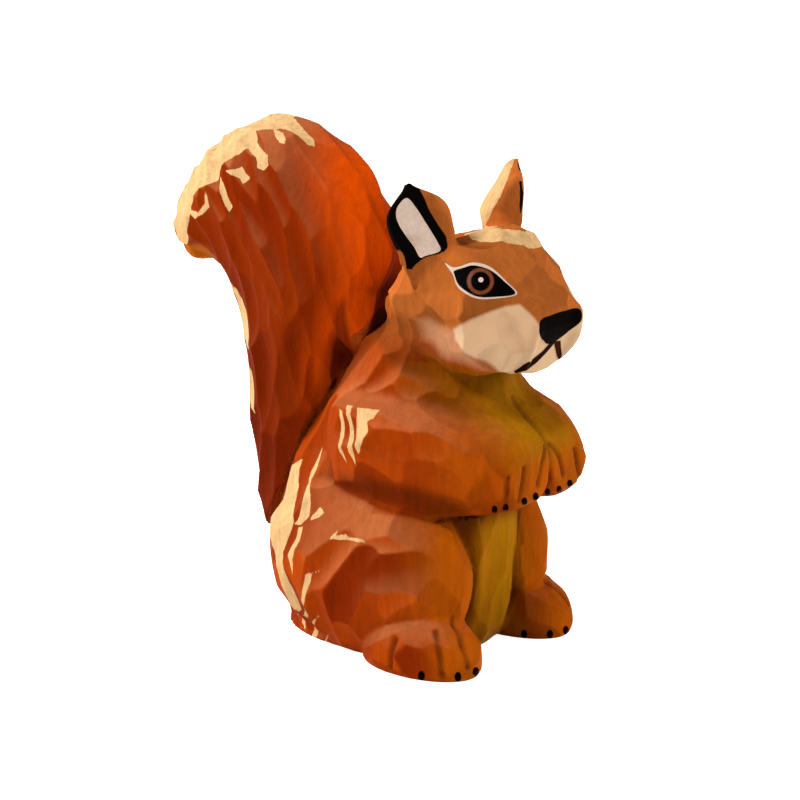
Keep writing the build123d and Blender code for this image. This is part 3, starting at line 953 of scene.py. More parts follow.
def v_cuts(points, tree):
    """Depth of the finger and toe cuts."""
    depth = np.zeros(len(points))
    for lines, (width, deep) in ((FINGER_CUTS, FINGER_CUT_SIZE), (TOE_CUTS, TOE_CUT_SIZE)):
        for pixels in lines:
            for line in both_sides(cast_line(tree, pixels)):
                near = np.clip(1 - line_distance(points, line) / width, 0, 1)
                depth = np.maximum(depth, near * deep)
    width, deep = PAW_GAP_SIZE
    middle = np.clip(1 - np.abs(points[:, X]) / width, 0, 1)
    return np.maximum(depth, np.where(boxed(points, PAW_BOX), middle * deep, 0))


def within(pixels, name):
    """Soft mask of the pixels inside the outlines of a wash."""
    outlines, soft = PIXEL_AREAS[name]
    found = np.zeros(len(pixels))
    for outline in outlines:
        found = np.maximum(found, smooth_step(-soft, soft, inside_distance(pixels, outline)))
    return found


def facing(name, values):
    """Soft mask of how far a surface faces one way."""
    return smooth_step(*FACING[name], values)


def toward_camera(points, normals):
    """How far each point faces the camera, 1 where it faces it straight."""
    return row_dots(normals, unit_rows(np.array(CAMERA_PLACE) / MM - points))


class Surface:
    """The surface before the gouge, as the picture and its mirror image show it."""

    def __init__(self, points, normals, names):
        self.points = points
        self.normals = normals
        self.names = names
        near = near_side(points, points)
        self.pixels = pixels_of(near)
        self.toward = toward_camera(near, near_side(normals, points))
        self.seen = facing("seen", self.toward)
        self.plain_view = facing("plain_view", self.toward)
        self.ahead = facing("ahead", normals[:, Y])
        self.head = self.on("head")
        self.tail = self.on("tail") | self.on("tip")
        self.parting = inside_distance(points[:, 1:], TAIL_PARTING)
        self.rust = smooth_step(*RUST_EDGE, self.parting)
        self.chest = self.area("chest") * (points[:, Z] < WASH_TOP)

    def on(self, form):
        """Which points lie on a form."""
        return self.names == FORMS.index(form)

    def area(self, name):
        """Soft mask of an area of the figure."""
        return area(name, self.points)

    def within(self, name):
        """Soft mask of a wash with its outline in pixels."""
        return within(self.pixels, name)


def cream_paint(surface):
    """Mask of the pale paint of the cheeks, the chin and the muzzle."""
    layers = (
        surface.within("cream") * surface.seen,
        STRENGTH["halo"] * surface.within("halo") * surface.seen,
        STRENGTH["chin"] * surface.area("chin") * boxed(surface.points, CREAM_BOX),
        surface.area("lip"),
    )
    return np.maximum.reduce(layers) * surface.head


def moss_wash(surface, cream):
    """Mask of the yellow-green wash of the jaw, throat, chest, arms and belly."""
    throat = STRENGTH["throat"] * surface.area("throat") * (surface.points[:, Z] < WASH_TOP)
    underside = facing("down", surface.normals[:, Z]) * surface.head
    jaw = STRENGTH["jaw"] * (surface.area("jaw") * underside)
    arms = STRENGTH["arm_wash"] * surface.within("arm_wash") * surface.seen
    arms = arms * boxed(surface.points, ARM_WASH_BOX)
    layers = (surface.area("belly"), surface.chest, throat, jaw, arms)
    return np.maximum.reduce(layers) * ~surface.tail * (1 - cream)


def top_highlight_mask(surface, facets, glow):
    """Mask of the painted highlight on the facets that face up, a paler tint that stands for light from
    above.
    """
    lift = facets[:, Z]
    upward = np.where(surface.on("haunch"), facing("haunch_sky", lift), facing("body_sky", lift))
    body = upward * surface.area("below_neck") * (1 - surface.rust) * (1 - surface.ahead)
    tail = facing("tail_sky", lift) * surface.rust * (1 - glow)
    return np.maximum(body * surface.area("front_half"), tail)


def painted_shade_spots(surface, facets):
    """Mask of the painted shade below the arms, round the neck and at the foot of the belly."""
    arms = surface.within("arm_shade") * facing("shade", facets[:, Z])
    neck = STRENGTH["neck_shade"] * surface.within("neck_shade") * (1 - surface.chest)
    found = np.maximum(arms, neck) * surface.plain_view * (1 - surface.rust)
    foot = STRENGTH["belly_foot"] * surface.area("belly") * surface.area("belly_foot")
    return np.maximum(found, foot)


def sunlit_facets(spot, points, facets, tones):
    """Mask of the facets of a spot that face the sun, for a painted sunlit highlight."""
    reach, start, lean, height, least = SUNLIT_SPOTS[spot]
    highlight_tint = smooth_step(*reach, facets @ np.array(SUN_WAY))
    place = points[:, Y] + lean * (points[:, Z] - height)
    return highlight_tint * smooth_step(*start, place) * (tones > least)


def painted_sunlight_spots(surface, facets, tones, ink):
    """Mask of the painted sunlit highlights: spots that the picture shows, and facets facing the sun that it
    doesn't.
    """
    points, view = surface.points, surface.plain_view
    up = points[:, Z]
    rump = sunlit_facets("rump", points, facets, tones) * (up < RUMP_TOP)
    body = np.maximum(surface.within("body_chips") * view, rump * (1 - view))
    body = body * smooth_step(*SUNLIT_OFF_TAIL, surface.parting) * ~surface.head
    tip = sunlit_facets("tip", points, facets, tones)
    tail = np.maximum(surface.within("tail_sunlit") * view, tip * (1 - view)) * surface.rust
    direct = toward_camera(points, surface.normals)
    crown = within(pixels_of(points), "crown_sunlit") * facing("in_picture", direct)
    crown = crown * (up > CROWN_LOW) * ~surface.tail
    sunny = STRENGTH["sunny"] * facing("ear_sun", surface.normals @ np.array(EAR_SUN)) * (1 - ink)
    sunny = sunny * surface.on("ear") * facing("out_of_picture", direct)
    return np.maximum.reduce((body, tail, crown, sunny))


def ear_ink(surface):
    """Mask of the black borders of the ears."""
    pixels, toward = surface.pixels, surface.toward
    far_side = surface.points[:, X] > 0
    ear = surface.on("ear") | (surface.head & boxed(surface.points, EAR_INK_BOX))
    wrapped = (pixels[:, 0] < EAR_WRAP_EDGE) * facing("ear_wrap", toward)
    near = np.maximum(facing("ear_near", toward), wrapped)
    far = facing("ear_far", toward) * (surface.points[:, Z] < EAR_FAR_TOP)
    shifted = pixels - np.where(far_side, EAR_FAR_SHIFT, 0)[:, None] * (1, 0)
    return within(shifted, "ear_ink") * ear * np.where(far_side, far, near)


def paint_areas(surface, facets, tones):
    """Soft masks of the washes and of the painted light."""
    cream = cream_paint(surface)
    gold = surface.within("gold") * surface.tail
    # The tail's forward faces get painted warm light
    glow = surface.ahead * surface.tail * surface.area("tail_glow") * (1 - gold)
    # The body's forward faces below the neck get gold as painted warm light, joined by the gold of the tail
    # tip's underside
    front = surface.ahead * ~surface.tail * surface.area("below_neck")
    ink = ear_ink(surface)
    return {
        "cream": cream,
        "moss": moss_wash(surface, cream),
        "rust": surface.rust,
        "glow": glow,
        "bare": painted_sunlight_spots(surface, facets, tones, ink),
        "sky": top_highlight_mask(surface, facets, glow),
        "face": surface.area("face") * ~surface.tail,
        "ink": ink,
        "front": np.maximum(front, STRENGTH["gold"] * gold),
    }


def reach_share(points, middle, reach):
    """Distance from a middle, 1 at its reach."""
    return np.linalg.norm((points - middle) / reach, axis=1)


def carved_surface(sizes):
    """The fused blocks after the gouge, with the masks of their paint and of their painted light and shade.
    """
    mesh = fused_blocks(sizes)
    points, normals = shaped(mesh)
    tree = tree_of(mesh)
    names = forms_of(points)
    flow = flow_of(points, names)
    flow = unit_rows(flow - normals * row_dots(flow, normals)[:, None])
    dice = np.random.default_rng(SEED)
    seeds = stroke_seeds(points, normals, names, flow, sizes, dice)
    level, tone = gouge_field(points, normals, seeds)
    cuts = v_cuts(points, tree)
    nose = reach_share(points, NOSE_MIDDLE, NOSE_REACH)
    muzzle = smooth_step(*MUZZLE_FADE, reach_share(points, MUZZLE_MIDDLE, MUZZLE_REACH))
    level = level * (MUZZLE_RELIEF + (1 - MUZZLE_RELIEF) * muzzle)
    level = level * smooth_step(*NOSE_FADE, nose) + NOSE_LIFT * smooth_step(*NOSE_RISE, nose)
    moved = points + normals * ((level - cuts) * area("off_floor", points))[:, None]
    moved[:, Z] = np.maximum(moved[:, Z], 0)
    move_points(mesh, moved)
    facets = vertex_arrays(mesh)[1]
    surface = Surface(points, normals, names)
    masks = paint_areas(surface, facets, tone)
    # Painted shade: darker in the creases, lower on the tail, below the arms, round the neck and at the foot
    # of the belly, less on the chest
    hollow = smooth_step(*HOLLOW_DEPTH, row_dots(nearby_mean(points) - points, normals))
    # Where the creases are deep, the painted sunlit highlights give way to the painted shade
    masks["bare"] = masks["bare"] * (1 - smooth_step(*SHADE_HIDES_SUNLIGHT, hollow))
    low_tail_shade = STRENGTH["low_tail_shade"] * surface.rust * surface.area("low_tail_shade")
    gathered = STRENGTH["shade"] * painted_shade_spots(surface, facets)
    hollow = np.maximum.reduce((hollow * (1 - STRENGTH["chest_lift"] * surface.chest), low_tail_shade, gathered))
    masks.update(stroke=tone, groove=np.clip(cuts / GROOVE_FULL, 0, 1), hollow=hollow)
    return mesh, moved, masks


def parted_blocks(mesh):
    """The carved surface parted into its blocks along the glue faces."""
    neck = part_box("head_block")[0].z / MM
    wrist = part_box("right_forepaw")[1].y / MM
    heel = math.tan(ANKLE_ANGLE)
    low = -HEEL_MARGIN * heel
    wedge = ((ANKLE_HEEL + HEEL_MARGIN, low), (-REACH, heel * (ANKLE_HEEL + REACH)), (-REACH, low))
    blocks = {}
    blocks["tail_block"], rest = parted(mesh, prism(TAIL_PARTING, -REACH, REACH))
    upper, lower = parted(rest, slab((0, 0, neck), (0, 0, 1)))
    for side, name in ((1, "right_ear"), (-1, "left_ear")):
        place = (side * EAR_JOINT[0], EAR_JOINT[1], EAR_JOINT[2])
        axis = (side * EAR_AXIS[0], EAR_AXIS[1], EAR_AXIS[2])
        blocks[name], upper = parted(upper, slab(place, axis))
    blocks["head_block"] = upper
    feet = (("right_hind_foot", -REACH, -FOOT_INSIDE), ("left_hind_foot", FOOT_INSIDE, REACH))
    for name, inner, outer in feet:
        blocks[name], lower = parted(lower, prism(wedge, inner, outer))
    paws, blocks["torso_block"] = parted(lower, slab((0, wrist, 0), (0, -1, 0)))
    blocks["right_forepaw"], blocks["left_forepaw"] = parted(paws, slab((0, 0, 0), (-1, 0, 0)))
    return blocks


def with_masks(mesh, search, masks):
    """A block's mesh with the paint masks of the surface that it was cut from."""
    count = len(mesh.vertices)
    source = np.empty(count, int)
    for at, corner in enumerate(mesh.vertices):
        source[at] = search.find(corner.co)[1]
    for name, values in masks.items():
        layer = mesh.attributes.new(name, "FLOAT", "POINT")
        layer.data.foreach_set("value", values[source].astype(np.float32))


# Nodes
def node(tree, kind, inputs=None, **details):
    """A node with its settings, plain values and links."""
    made = tree.nodes.new(kind)
    for name, value in details.items():
        setattr(made, name, value)
    for key, value in (inputs or {}).items():
        if isinstance(value, bpy.types.NodeSocket):
            tree.links.new(value, made.inputs[key])
        else:
            made.inputs[key].default_value = value
    return made


def mixed(tree, share, first, second, blend="MIX"):
    """Colour between two colours."""
    made = node(tree, "ShaderNodeMix", {0: share, 6: first, 7: second}, data_type="RGBA", blend_type=blend)
    return made.outputs[2]


def sums(tree, operation, first, second, clamp=False):
    """One sum of two values."""
    made = node(tree, "ShaderNodeMath", {0: first, 1: second}, operation=operation, use_clamp=clamp)
    return made.outputs[0]


def spread(tree, value, low, high, to_low=0.0, to_high=1.0):
    """A value spread from one range to another, held inside it."""
    made = node(tree, "ShaderNodeMapRange", {0: value, 1: low, 2: high, 3: to_low, 4: to_high})
    return made.outputs[0]


def noise(tree, place, size, detail=3.0, rough=0.55):
    """Noise at a size in features for each metre."""
    made = node(
        tree, "ShaderNodeTexNoise", {"Vector": place, "Scale": size, "Detail": detail, "Roughness": rough})
    return made.outputs["Fac"]


def opaque(values):
    """A colour with full alpha."""
    return (*values, 1.0)


def group_named(name, inputs, outputs):
    """An empty shader node group with its sockets."""
    made = bpy.data.node_groups.new(name, "ShaderNodeTree")
    for label, kind, default in inputs:
        socket = made.interface.new_socket(label, in_out="INPUT", socket_type=kind)
        socket.default_value = default
    for label, kind in outputs:
        made.interface.new_socket(label, in_out="OUTPUT", socket_type=kind)
    start = made.nodes.new("NodeGroupInput")
    end = made.nodes.new("NodeGroupOutput")
    return made, start, end


def wood_figure():
    """Fine long grain of the block: tone 0 to 1 and height."""
    if "Wood Figure" in bpy.data.node_groups:
        return bpy.data.node_groups["Wood Figure"]
    made, start, end = group_named(
        "Wood Figure",
        (("Grain Size", "NodeSocketFloat", 1.0), ("Pores", "NodeSocketFloat", 0.4)),
        (("Tone", "NodeSocketFloat"), ("Height", "NodeSocketFloat")))
    place = node(made, "ShaderNodeTexCoord").outputs["Object"]
    sway = node(made, "ShaderNodeTexNoise", {"Vector": place, "Scale": 45.0, "Detail": 2.0})
    bent = node(made, "ShaderNodeVectorMath", {0: sway.outputs["Color"]}, operation="SCALE")
    bent.inputs["Scale"].default_value = 0.006
    moved = node(made, "ShaderNodeVectorMath", {0: place, 1: bent.outputs[0]}, operation="ADD")
    long_way = node(made, "ShaderNodeMapping", {"Vector": moved.outputs[0], "Scale": (1.0, 1.0, 0.09)})
    sized = node(made, "ShaderNodeVectorMath", {0: long_way.outputs[0]}, operation="SCALE")
    made.links.new(start.outputs["Grain Size"], sized.inputs["Scale"])
    lines = noise(made, sized.outputs[0], 620.0, 4.0, 0.6)
    pores = noise(made, sized.outputs[0], 2600.0, 2.0, 0.5)
    fine = sums(made, "MULTIPLY", spread(made, pores, 0.55, 0.72), start.outputs["Pores"])
    tone = sums(made, "SUBTRACT", spread(made, lines, 0.32, 0.68), fine, clamp=True)
    made.links.new(tone, end.inputs["Tone"])
    made.links.new(sums(made, "SUBTRACT", lines, fine), end.inputs["Height"])
    return made


def brush_marks():
    """Uneven hand-laid paint: tone 0 to 1, roughness and height."""
    if "Brush Marks" in bpy.data.node_groups:
        return bpy.data.node_groups["Brush Marks"]
    made, start, end = group_named(
        "Brush Marks",
        (("Bristle Size", "NodeSocketFloat", 1.0), ("Sheen Low", "NodeSocketFloat", 0.4),
         ("Sheen High", "NodeSocketFloat", 0.6)),
        (("Tone", "NodeSocketFloat"), ("Roughness", "NodeSocketFloat"), ("Height", "NodeSocketFloat")))
    place = node(made, "ShaderNodeTexCoord").outputs["Object"]
    turned = {"Vector": place, "Rotation": (0.5, 0.3, 0.8), "Scale": (0.22, 1.0, 1.0)}
    way = node(made, "ShaderNodeMapping", turned)
    sized = node(made, "ShaderNodeVectorMath", {0: way.outputs[0]}, operation="SCALE")
    made.links.new(start.outputs["Bristle Size"], sized.inputs["Scale"])
    hairs = noise(made, sized.outputs[0], 1500.0, 3.0, 0.6)
    coats = noise(made, place, 220.0, 3.0, 0.55)
    tone = sums(made, "ADD", sums(made, "MULTIPLY", hairs, 0.55), sums(made, "MULTIPLY", coats, 0.45))
    shine = node(made, "ShaderNodeMapRange", {0: tone, 1: 0.3, 2: 0.7})
    made.links.new(start.outputs["Sheen Low"], shine.inputs[3])
    made.links.new(start.outputs["Sheen High"], shine.inputs[4])
    made.links.new(spread(made, tone, 0.3, 0.7), end.inputs["Tone"])
    made.links.new(shine.outputs[0], end.inputs["Roughness"])
    made.links.new(hairs, end.inputs["Height"])
    return made


def material_named(name):
    """A material with only a Principled shader, its node tree and that shader."""
    made = bpy.data.materials.new(name)
    made.use_nodes = True
    return made, made.node_tree, made.node_tree.nodes["Principled BSDF"]


def grouped(tree, group, **inputs):
    """A node group placed in a material."""
    made = node(tree, "ShaderNodeGroup", node_tree=group)
    for label, value in inputs.items():
        made.inputs[label.replace("_", " ").title()].default_value = value
    return made


def bumped(tree, height, strength, distance):
    """Normal of a height."""
    made = node(tree, "ShaderNodeBump", {"Height": height, "Strength": strength, "Distance": distance})
    return made.outputs["Normal"]


def carved_wood_material(colours):
    """Stained and washed wood: strokes, painted highlights on the facets that face up, grain, cream, moss,
    painted shade, painted warm front light and painted sunlit highlights.
    """
    made, tree, shader = material_named("Carved Painted Wood")
    mask = {}
    for name in MASKS:
        mask[name] = node(tree, "ShaderNodeAttribute", attribute_name=name).outputs["Fac"]

    def times(first, second):
        return sums(tree, "MULTIPLY", first, second)

    def ranged(value, name):
        return spread(tree, value, *RANGES[name])

    place = node(tree, "ShaderNodeTexCoord").outputs["Object"]
    grain = grouped(tree, wood_figure(), **WOOD_GRAIN)
    brush = grouped(tree, brush_marks(), **WOOD_BRUSH)
    figure = grain.outputs["Tone"]
    cloud = noise(tree, place, *CLOUD_NOISE)
    uneven = sums(tree, "ADD", times(mask["stroke"], SHARES["stroke"]), times(cloud, SHARES["cloud"]))
    deep = opaque(colours.stain_deep)
    stain = mixed(tree, ranged(uneven, "stain"), deep, opaque(colours.stain))
    face_dark = opaque(shade(colours.face, FACE_DARK))
    face = mixed(tree, ranged(uneven, "face"), face_dark, opaque(colours.face))
    tail = mixed(tree, ranged(uneven, "face"), deep, opaque(colours.rust))
    # Layers over the stain: face, tail rust, gold as painted warm front light, painted warm light on the
    # tail's front, painted top highlight, moss and painted shade
    layers = (
        (mask["face"], face),
        (mask["rust"], tail),
        (times(mask["front"], SHARES["front"]), opaque(colours.gold)),
        (mask["glow"], opaque(colours.glow)),
        (times(mask["sky"], ranged(uneven, "top_highlight_spread")), opaque(colours.highlight_tint)),
        (times(mask["moss"], ranged(cloud, "wash")), opaque(colours.moss)),
        (times(mask["hollow"], SHARES["hollow"]), opaque(colours.shade_tint)),
    )
    for share, top in layers:
        stain = mixed(tree, share, stain, top)
    grainy = ranged(figure, "grain")
    veined = node(tree, "ShaderNodeCombineColor", {0: grainy, 1: grainy, 2: grainy}).outputs[0]
    stain = mixed(tree, 1.0, stain, veined, "MULTIPLY")
    rough_edge = times(sums(tree, "SUBTRACT", brush.outputs["Tone"], ROUGH_MIDDLE), SHARES["rough_edge"])
    ragged = sums(tree, "ADD", mask["cream"], rough_edge)
    pale_dark = opaque(shade(colours.face, FACET_DARK))
    pale = mixed(tree, ranged(mask["stroke"], "facet"), pale_dark, opaque(colours.cream))
    # Painted sunlit highlights, ragged by the grain and speckled darker
    split = times(sums(tree, "SUBTRACT", figure, RAGGING_MIDDLE), SHARES["split"])
    sunlit_share = ranged(sums(tree, "ADD", mask["bare"], split), "sunlit_share")
    sunlit_tone = mixed(tree, figure, opaque(shade(colours.bare, SUNLIT_DARK)), opaque(colours.bare))
    sunlit_specks = ranged(noise(tree, place, *SPECK_NOISE), "sunlit_specks")
    sunlit_tone = mixed(tree, sunlit_specks, sunlit_tone, opaque(shade(colours.face, SPECK_DARK)))
    crisp = (
        (ranged(ragged, "cream"), pale),
        (sunlit_share, sunlit_tone),
        (times(mask["groove"], SHARES["groove"]), opaque(colours.mouth)),
        (ranged(mask["ink"], "ink"), opaque(colours.black)),
    )
    for share, top in crisp:
        stain = mixed(tree, share, stain, top)
    tree.links.new(stain, shader.inputs["Base Color"])
    tree.links.new(brush.outputs["Roughness"], shader.inputs["Roughness"])
    height = sums(tree, "ADD", grain.outputs["Height"], times(brush.outputs["Height"], SHARES["brush"]))
    tree.links.new(bumped(tree, height, *WOOD_BUMP), shader.inputs["Normal"])
    shader.inputs["Specular IOR Level"].default_value = WOOD_GLOSS
    return made


def paint_material(name, colours):
    """Hand-laid paint between two shades of a colour, with brush marks."""
    colour_name, bright, dark, low, high, gloss = PAINTS[name]
    base = getattr(colours, colour_name)
    made, tree, shader = material_named(name)
    brush = grouped(tree, brush_marks(), bristle_size=1.0, sheen_low=low, sheen_high=high)
    tones = (opaque(shade(base, dark)), opaque(shade(base, bright)))
    tree.links.new(mixed(tree, brush.outputs["Tone"], *tones), shader.inputs["Base Color"])
    tree.links.new(brush.outputs["Roughness"], shader.inputs["Roughness"])
    tree.links.new(bumped(tree, brush.outputs["Height"], *PAINT_BUMP), shader.inputs["Normal"])
    shader.inputs["Specular IOR Level"].default_value = gloss
    return made


def dowel_material(colours):
    """Plain turned dowel wood."""
    made, tree, shader = material_named("Dowel Wood")
    grain = grouped(tree, wood_figure(), **DOWEL_GRAIN)
    figure = grain.outputs["Tone"]
    tones = (opaque(shade(colours.dowel, DOWEL_DARK)), opaque(colours.dowel))
    tree.links.new(mixed(tree, figure, *tones), shader.inputs["Base Color"])
    tree.links.new(spread(tree, figure, *DOWEL_SHEEN), shader.inputs["Roughness"])
    tree.links.new(bumped(tree, grain.outputs["Height"], *DOWEL_BUMP), shader.inputs["Normal"])
    return made


def shade(values, share):
    """A colour darkened to a share of itself."""
    return tuple(part * share for part in values)


# Films of paint
def film_triangles(outline, step):
    """An outline filled with triangles about as wide as the step."""
    corners = np.array(outline, float)
    low, high = corners.min(axis=0), corners.max(axis=0)
    across, down = np.meshgrid(np.arange(low[0], high[0], step), np.arange(low[1], high[1], step))
    grid = np.stack((across.ravel(), down.ravel()), axis=1)
    grid = grid[inside_distance(grid, corners) > FILM_MARGIN * step]
    places = [Vector(place) for place in np.concatenate((corners, grid))]
    ring = list(range(len(corners)))
    found = geometry.delaunay_2d_cdt(places, [], [ring], 1, 1e-5)
    return found[0], [list(face) for face in found[2]]


def fine_outline(outline, step):
    """An outline through the same corners, rounded and finely stepped."""
    corners = np.array(outline, float)
    count = len(corners)
    made = []
    for at in range(count):
        before, start, end, after = (corners[(at + shift) % count] for shift in (-1, 0, 1, 2))
        pieces = max(2, int(np.linalg.norm(end - start) / step))
        for share in np.arange(pieces) / pieces:
            square, cube = share ** 2, share ** 3
            made.append(0.5 * (
                2 * start + (end - before) * share
                + (2 * before - 5 * start + 4 * end - after) * square
                + (3 * start - before - 3 * end + after) * cube))
    return made


def lowest_pixel(carrier, start):
    """Height in pixels at which a sight line last meets its carrier, from below."""
    for shift in CLAW_SEARCH:
        if carrier.ray_cast(*sight_line((start[0], start[1] + shift)))[0]:
            return start[1] + shift
    raise RuntimeError(f"no wood near pixel {start}")


def ring_outline(middle, radius, count=RING_CORNERS):
    """A round outline."""
    turns = np.linspace(0, 2 * math.pi, count, endpoint=False)
    return [(middle[0] + radius * math.cos(turn), middle[1] + radius * math.sin(turn)) for turn in turns]


def ribbon_outline(line):
    """Outline of a brush line from its places and half widths."""
    places = np.array([row[:2] for row in line], float)
    widths = np.array([row[2] for row in line], float)
    ways = np.gradient(places, axis=0)
    sides = np.stack((-ways[:, 1], ways[:, 0]), axis=1)
    sides = sides / np.linalg.norm(sides, axis=1, keepdims=True) * widths[:, None]
    return np.concatenate((places + sides, (places - sides)[::-1]))


def film_mesh(name, places, faces, lines, carrier, thickness):
    """A closed film on its carrier, where each flat place follows its own line."""
    top = []
    under = []
    middle = sum(places, Vector((0, 0))) / len(places)
    for place in places:
        for share in FILM_SHRINKS:
            start, way = lines(place.lerp(middle, share))
            hit = carrier.ray_cast(start, way)[0]
            if hit is not None:
                break
        else:
            raise RuntimeError(f"{name} misses the wood at {tuple(place)}")
        top.append(hit - way * thickness)
        under.append(hit + way * FILM_UNDER * MM)
    work = bmesh.new()
    upper = [work.verts.new((place.x, place.y, max(place.z, 0))) for place in top]
    lower = [work.verts.new((place.x, place.y, max(place.z, 0))) for place in under]
    edges = {}
    for face in faces:
        work.faces.new([upper[at] for at in face])
        work.faces.new([lower[at] for at in reversed(face)])
        for start, end in zip(face, face[1:] + face[:1]):
            edges[(start, end)] = None
    for start, end in edges:
        if (end, start) not in edges:
            work.faces.new((upper[end], upper[start], lower[start], lower[end]))
    bmesh.ops.recalc_face_normals(work, faces=work.faces)
    return mesh_from(work, name)


def add_film(name, outline, carrier, thickness, material, mirrored=False, step=FILM_STEP):
    """A film of paint from an outline in pixels."""
    places, faces = film_triangles(outline, step)

    def line_through(place):
        return sight_line(place, mirrored)

    mesh = film_mesh(name, places, faces, line_through, carrier, thickness)
    return add_piece(name, mesh, material)


def add_outlined(side, mirrored, films, carrier, paints, shift=(0.0, 0.0)):
    """Films with rounded outlines on one side of the head."""
    film = settings()[0].film
    for name, outline, finish in films:
        edge = fine_outline(np.array(outline) + shift, OUTLINE_STEP)
        add_film(f"{side}_{name}", edge, carrier, film * FILM_HEIGHTS[name], paints[finish], mirrored)


def add_piece(name, mesh, material, replaced=None):
    """A piece of the figurine with its finish, on the frame."""
    mesh.materials.clear()
    mesh.materials.append(material)
    mesh.shade_smooth()
    mesh.set_sharp_from_angle(angle=SHARP_ANGLE)
    piece = loose_object(name, mesh)
    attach(piece, ROOT)
    if replaced:
        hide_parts(replaced)
    return piece


def carved_tree(*names):
    """Search tree of carved pieces."""
    work = bmesh.new()
    for name in names:
        work.from_mesh(bpy.data.objects[name].data)
    tree = BVHTree.FromBMesh(work)
    work.free()
    return tree


class SquirrelOperator:
    """What the operators share."""

    bl_options = {"REGISTER", "UNDO"}


class SQUIRREL_OT_carve(SquirrelOperator, bpy.types.Operator):
    """Carve the blocks, part them along their glue faces and stain them"""

    bl_idname = "squirrel.carve"
    bl_label = "Carve Blocks"

    def execute(self, context):
        sizes, colours = settings()
        mesh, places, masks = carved_surface(sizes)
        search = KDTree(len(places))
        for at, place in enumerate(places * MM):
            search.insert(place, at)
        search.balance()
        material = carved_wood_material(colours)
        for node_name, block in parted_blocks(mesh).items():
            with_masks(block, search, masks)
            add_piece("carved_" + node_name, block, material, replaced=node_name)
        return {"FINISHED"}


class SQUIRREL_OT_dowels(SquirrelOperator, bpy.types.Operator):
    """Give the hidden dowels their plain wood"""

    bl_idname = "squirrel.dowels"
    bl_label = "Finish Dowels"

    def execute(self, context):
        material = dowel_material(settings()[1])
        for name in DOWEL_NODES:
            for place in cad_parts[name].material_slots:
                place.material = material
        return {"FINISHED"}


class SQUIRREL_OT_eyes(SquirrelOperator, bpy.types.Operator):
    """Paint the eyes with their rims, irises, pupils and glints"""

    bl_idname = "squirrel.eyes"
    bl_label = "Paint Eyes"

    def execute(self, context):
        sizes, colours = settings()
        carrier = carved_tree("carved_head_block")
        paints = {name: paint_material(name, colours) for name in EYE_PAINTS}
        white = paints["Eye White Paint"]
        for side, mirrored in SIDES:
            shift = np.array((EYE_FAR_SHIFT if mirrored else 0.0, 0.0))
            add_outlined(side, mirrored, EYE_FILMS, carrier, paints, shift)
            for name, radius, lift, finish in EYE_RINGS:
                ring = ring_outline(shift + EYE_MIDDLE, radius)
                add_film(f"{side}_eye_{name}", ring, carrier, lift * MM, paints[finish], mirrored, RING_STEP)
            glint = ring_outline(shift + GLINT_MIDDLE, GLINT_RADIUS, GLINT_CORNERS)
            add_film(f"{side}_eye_glint", glint, carrier, GLINT_LIFT * MM, white, mirrored, GLINT_STEP)
        return {"FINISHED"}


class SQUIRREL_OT_muzzle(SquirrelOperator, bpy.types.Operator):
    """Paint the nose pad, the mouth lines and the line below the nose"""

    bl_idname = "squirrel.muzzle"
    bl_label = "Paint Muzzle"

    def execute(self, context):
        sizes, colours = settings()
        carrier = carved_tree("carved_head_block")
        places, faces = film_triangles(fine_outline(NOSE_OUTLINE, NOSE_OUTLINE_STEP), NOSE_STEP)

        def line_from_front(place):
            start = Vector((place[0] * MM, NOSE_RAY_START, (NOSE_HEIGHT + place[1]) * MM))
            return start, Vector((0, 1, 0))

        height = sizes.film * FILM_HEIGHTS["nose_pad"]
        mesh = film_mesh("nose_pad", places, faces, line_from_front, carrier, height)
        add_piece("nose_pad", mesh, paint_material("Nose Black Paint", colours))
        brown = paint_material("Mouth Paint", colours)
        height = sizes.film * FILM_HEIGHTS["mouth_line"]
        for side, mirrored in SIDES:
            line = ribbon_outline(MOUTH_LINE[MOUTH_FAR_START:] if mirrored else MOUTH_LINE)
            add_film(f"{side}_mouth_line", line, carrier, height, brown, mirrored, LINE_STEP)
        height = sizes.film * FILM_HEIGHTS["lip_line"]
        red = paint_material("Lip Paint", colours)
        add_film("lip_line", ribbon_outline(LIP_LINE), carrier, height, red, False, LINE_STEP)
        return {"FINISHED"}


class SQUIRREL_OT_ears(SquirrelOperator, bpy.types.Operator):
    """Paint the pale linings and black borders of the ears"""

    bl_idname = "squirrel.ears"
    bl_label = "Paint Ears"

    def execute(self, context):
        sizes, colours = settings()
        paints = {finish: paint_material(finish, colours) for _, _, finish in EAR_FILMS}
        black = paints["Ear Border Paint"]
        for side, mirrored in SIDES:
            carrier = carved_tree(f"carved_{side}_ear", "carved_head_block")
            add_outlined(side, mirrored, EAR_FILMS, carrier, paints)
        edge = ribbon_outline(EAR_FAR_EDGE)
        add_film("left_ear_edge", edge, carved_tree("carved_left_ear"), sizes.film, black, False, LINE_STEP)
        return {"FINISHED"}


class SQUIRREL_OT_claws(SquirrelOperator, bpy.types.Operator):
    """Paint the claw marks of the paws and feet"""

    bl_idname = "squirrel.claws"
    bl_label = "Paint Claws"

    def execute(self, context):
        sizes, colours = settings()
        black = paint_material("Claw Paint", colours)
        wide, high = CLAW_SHAPE
        for name, row, radius in CLAW_ROWS:
            carrier = carved_tree(f"carved_{name}")
            ring = ring_outline((0, 0), radius, CLAW_CORNERS)
            for at, start in enumerate(row):
                middle = lowest_pixel(carrier, start) - radius
                outline = [(x * wide + start[0], y * high + middle) for x, y in ring]
                add_film(f"{name}_claw_{at + 1}", outline, carrier, sizes.film, black, False, RING_STEP)
        return {"FINISHED"}


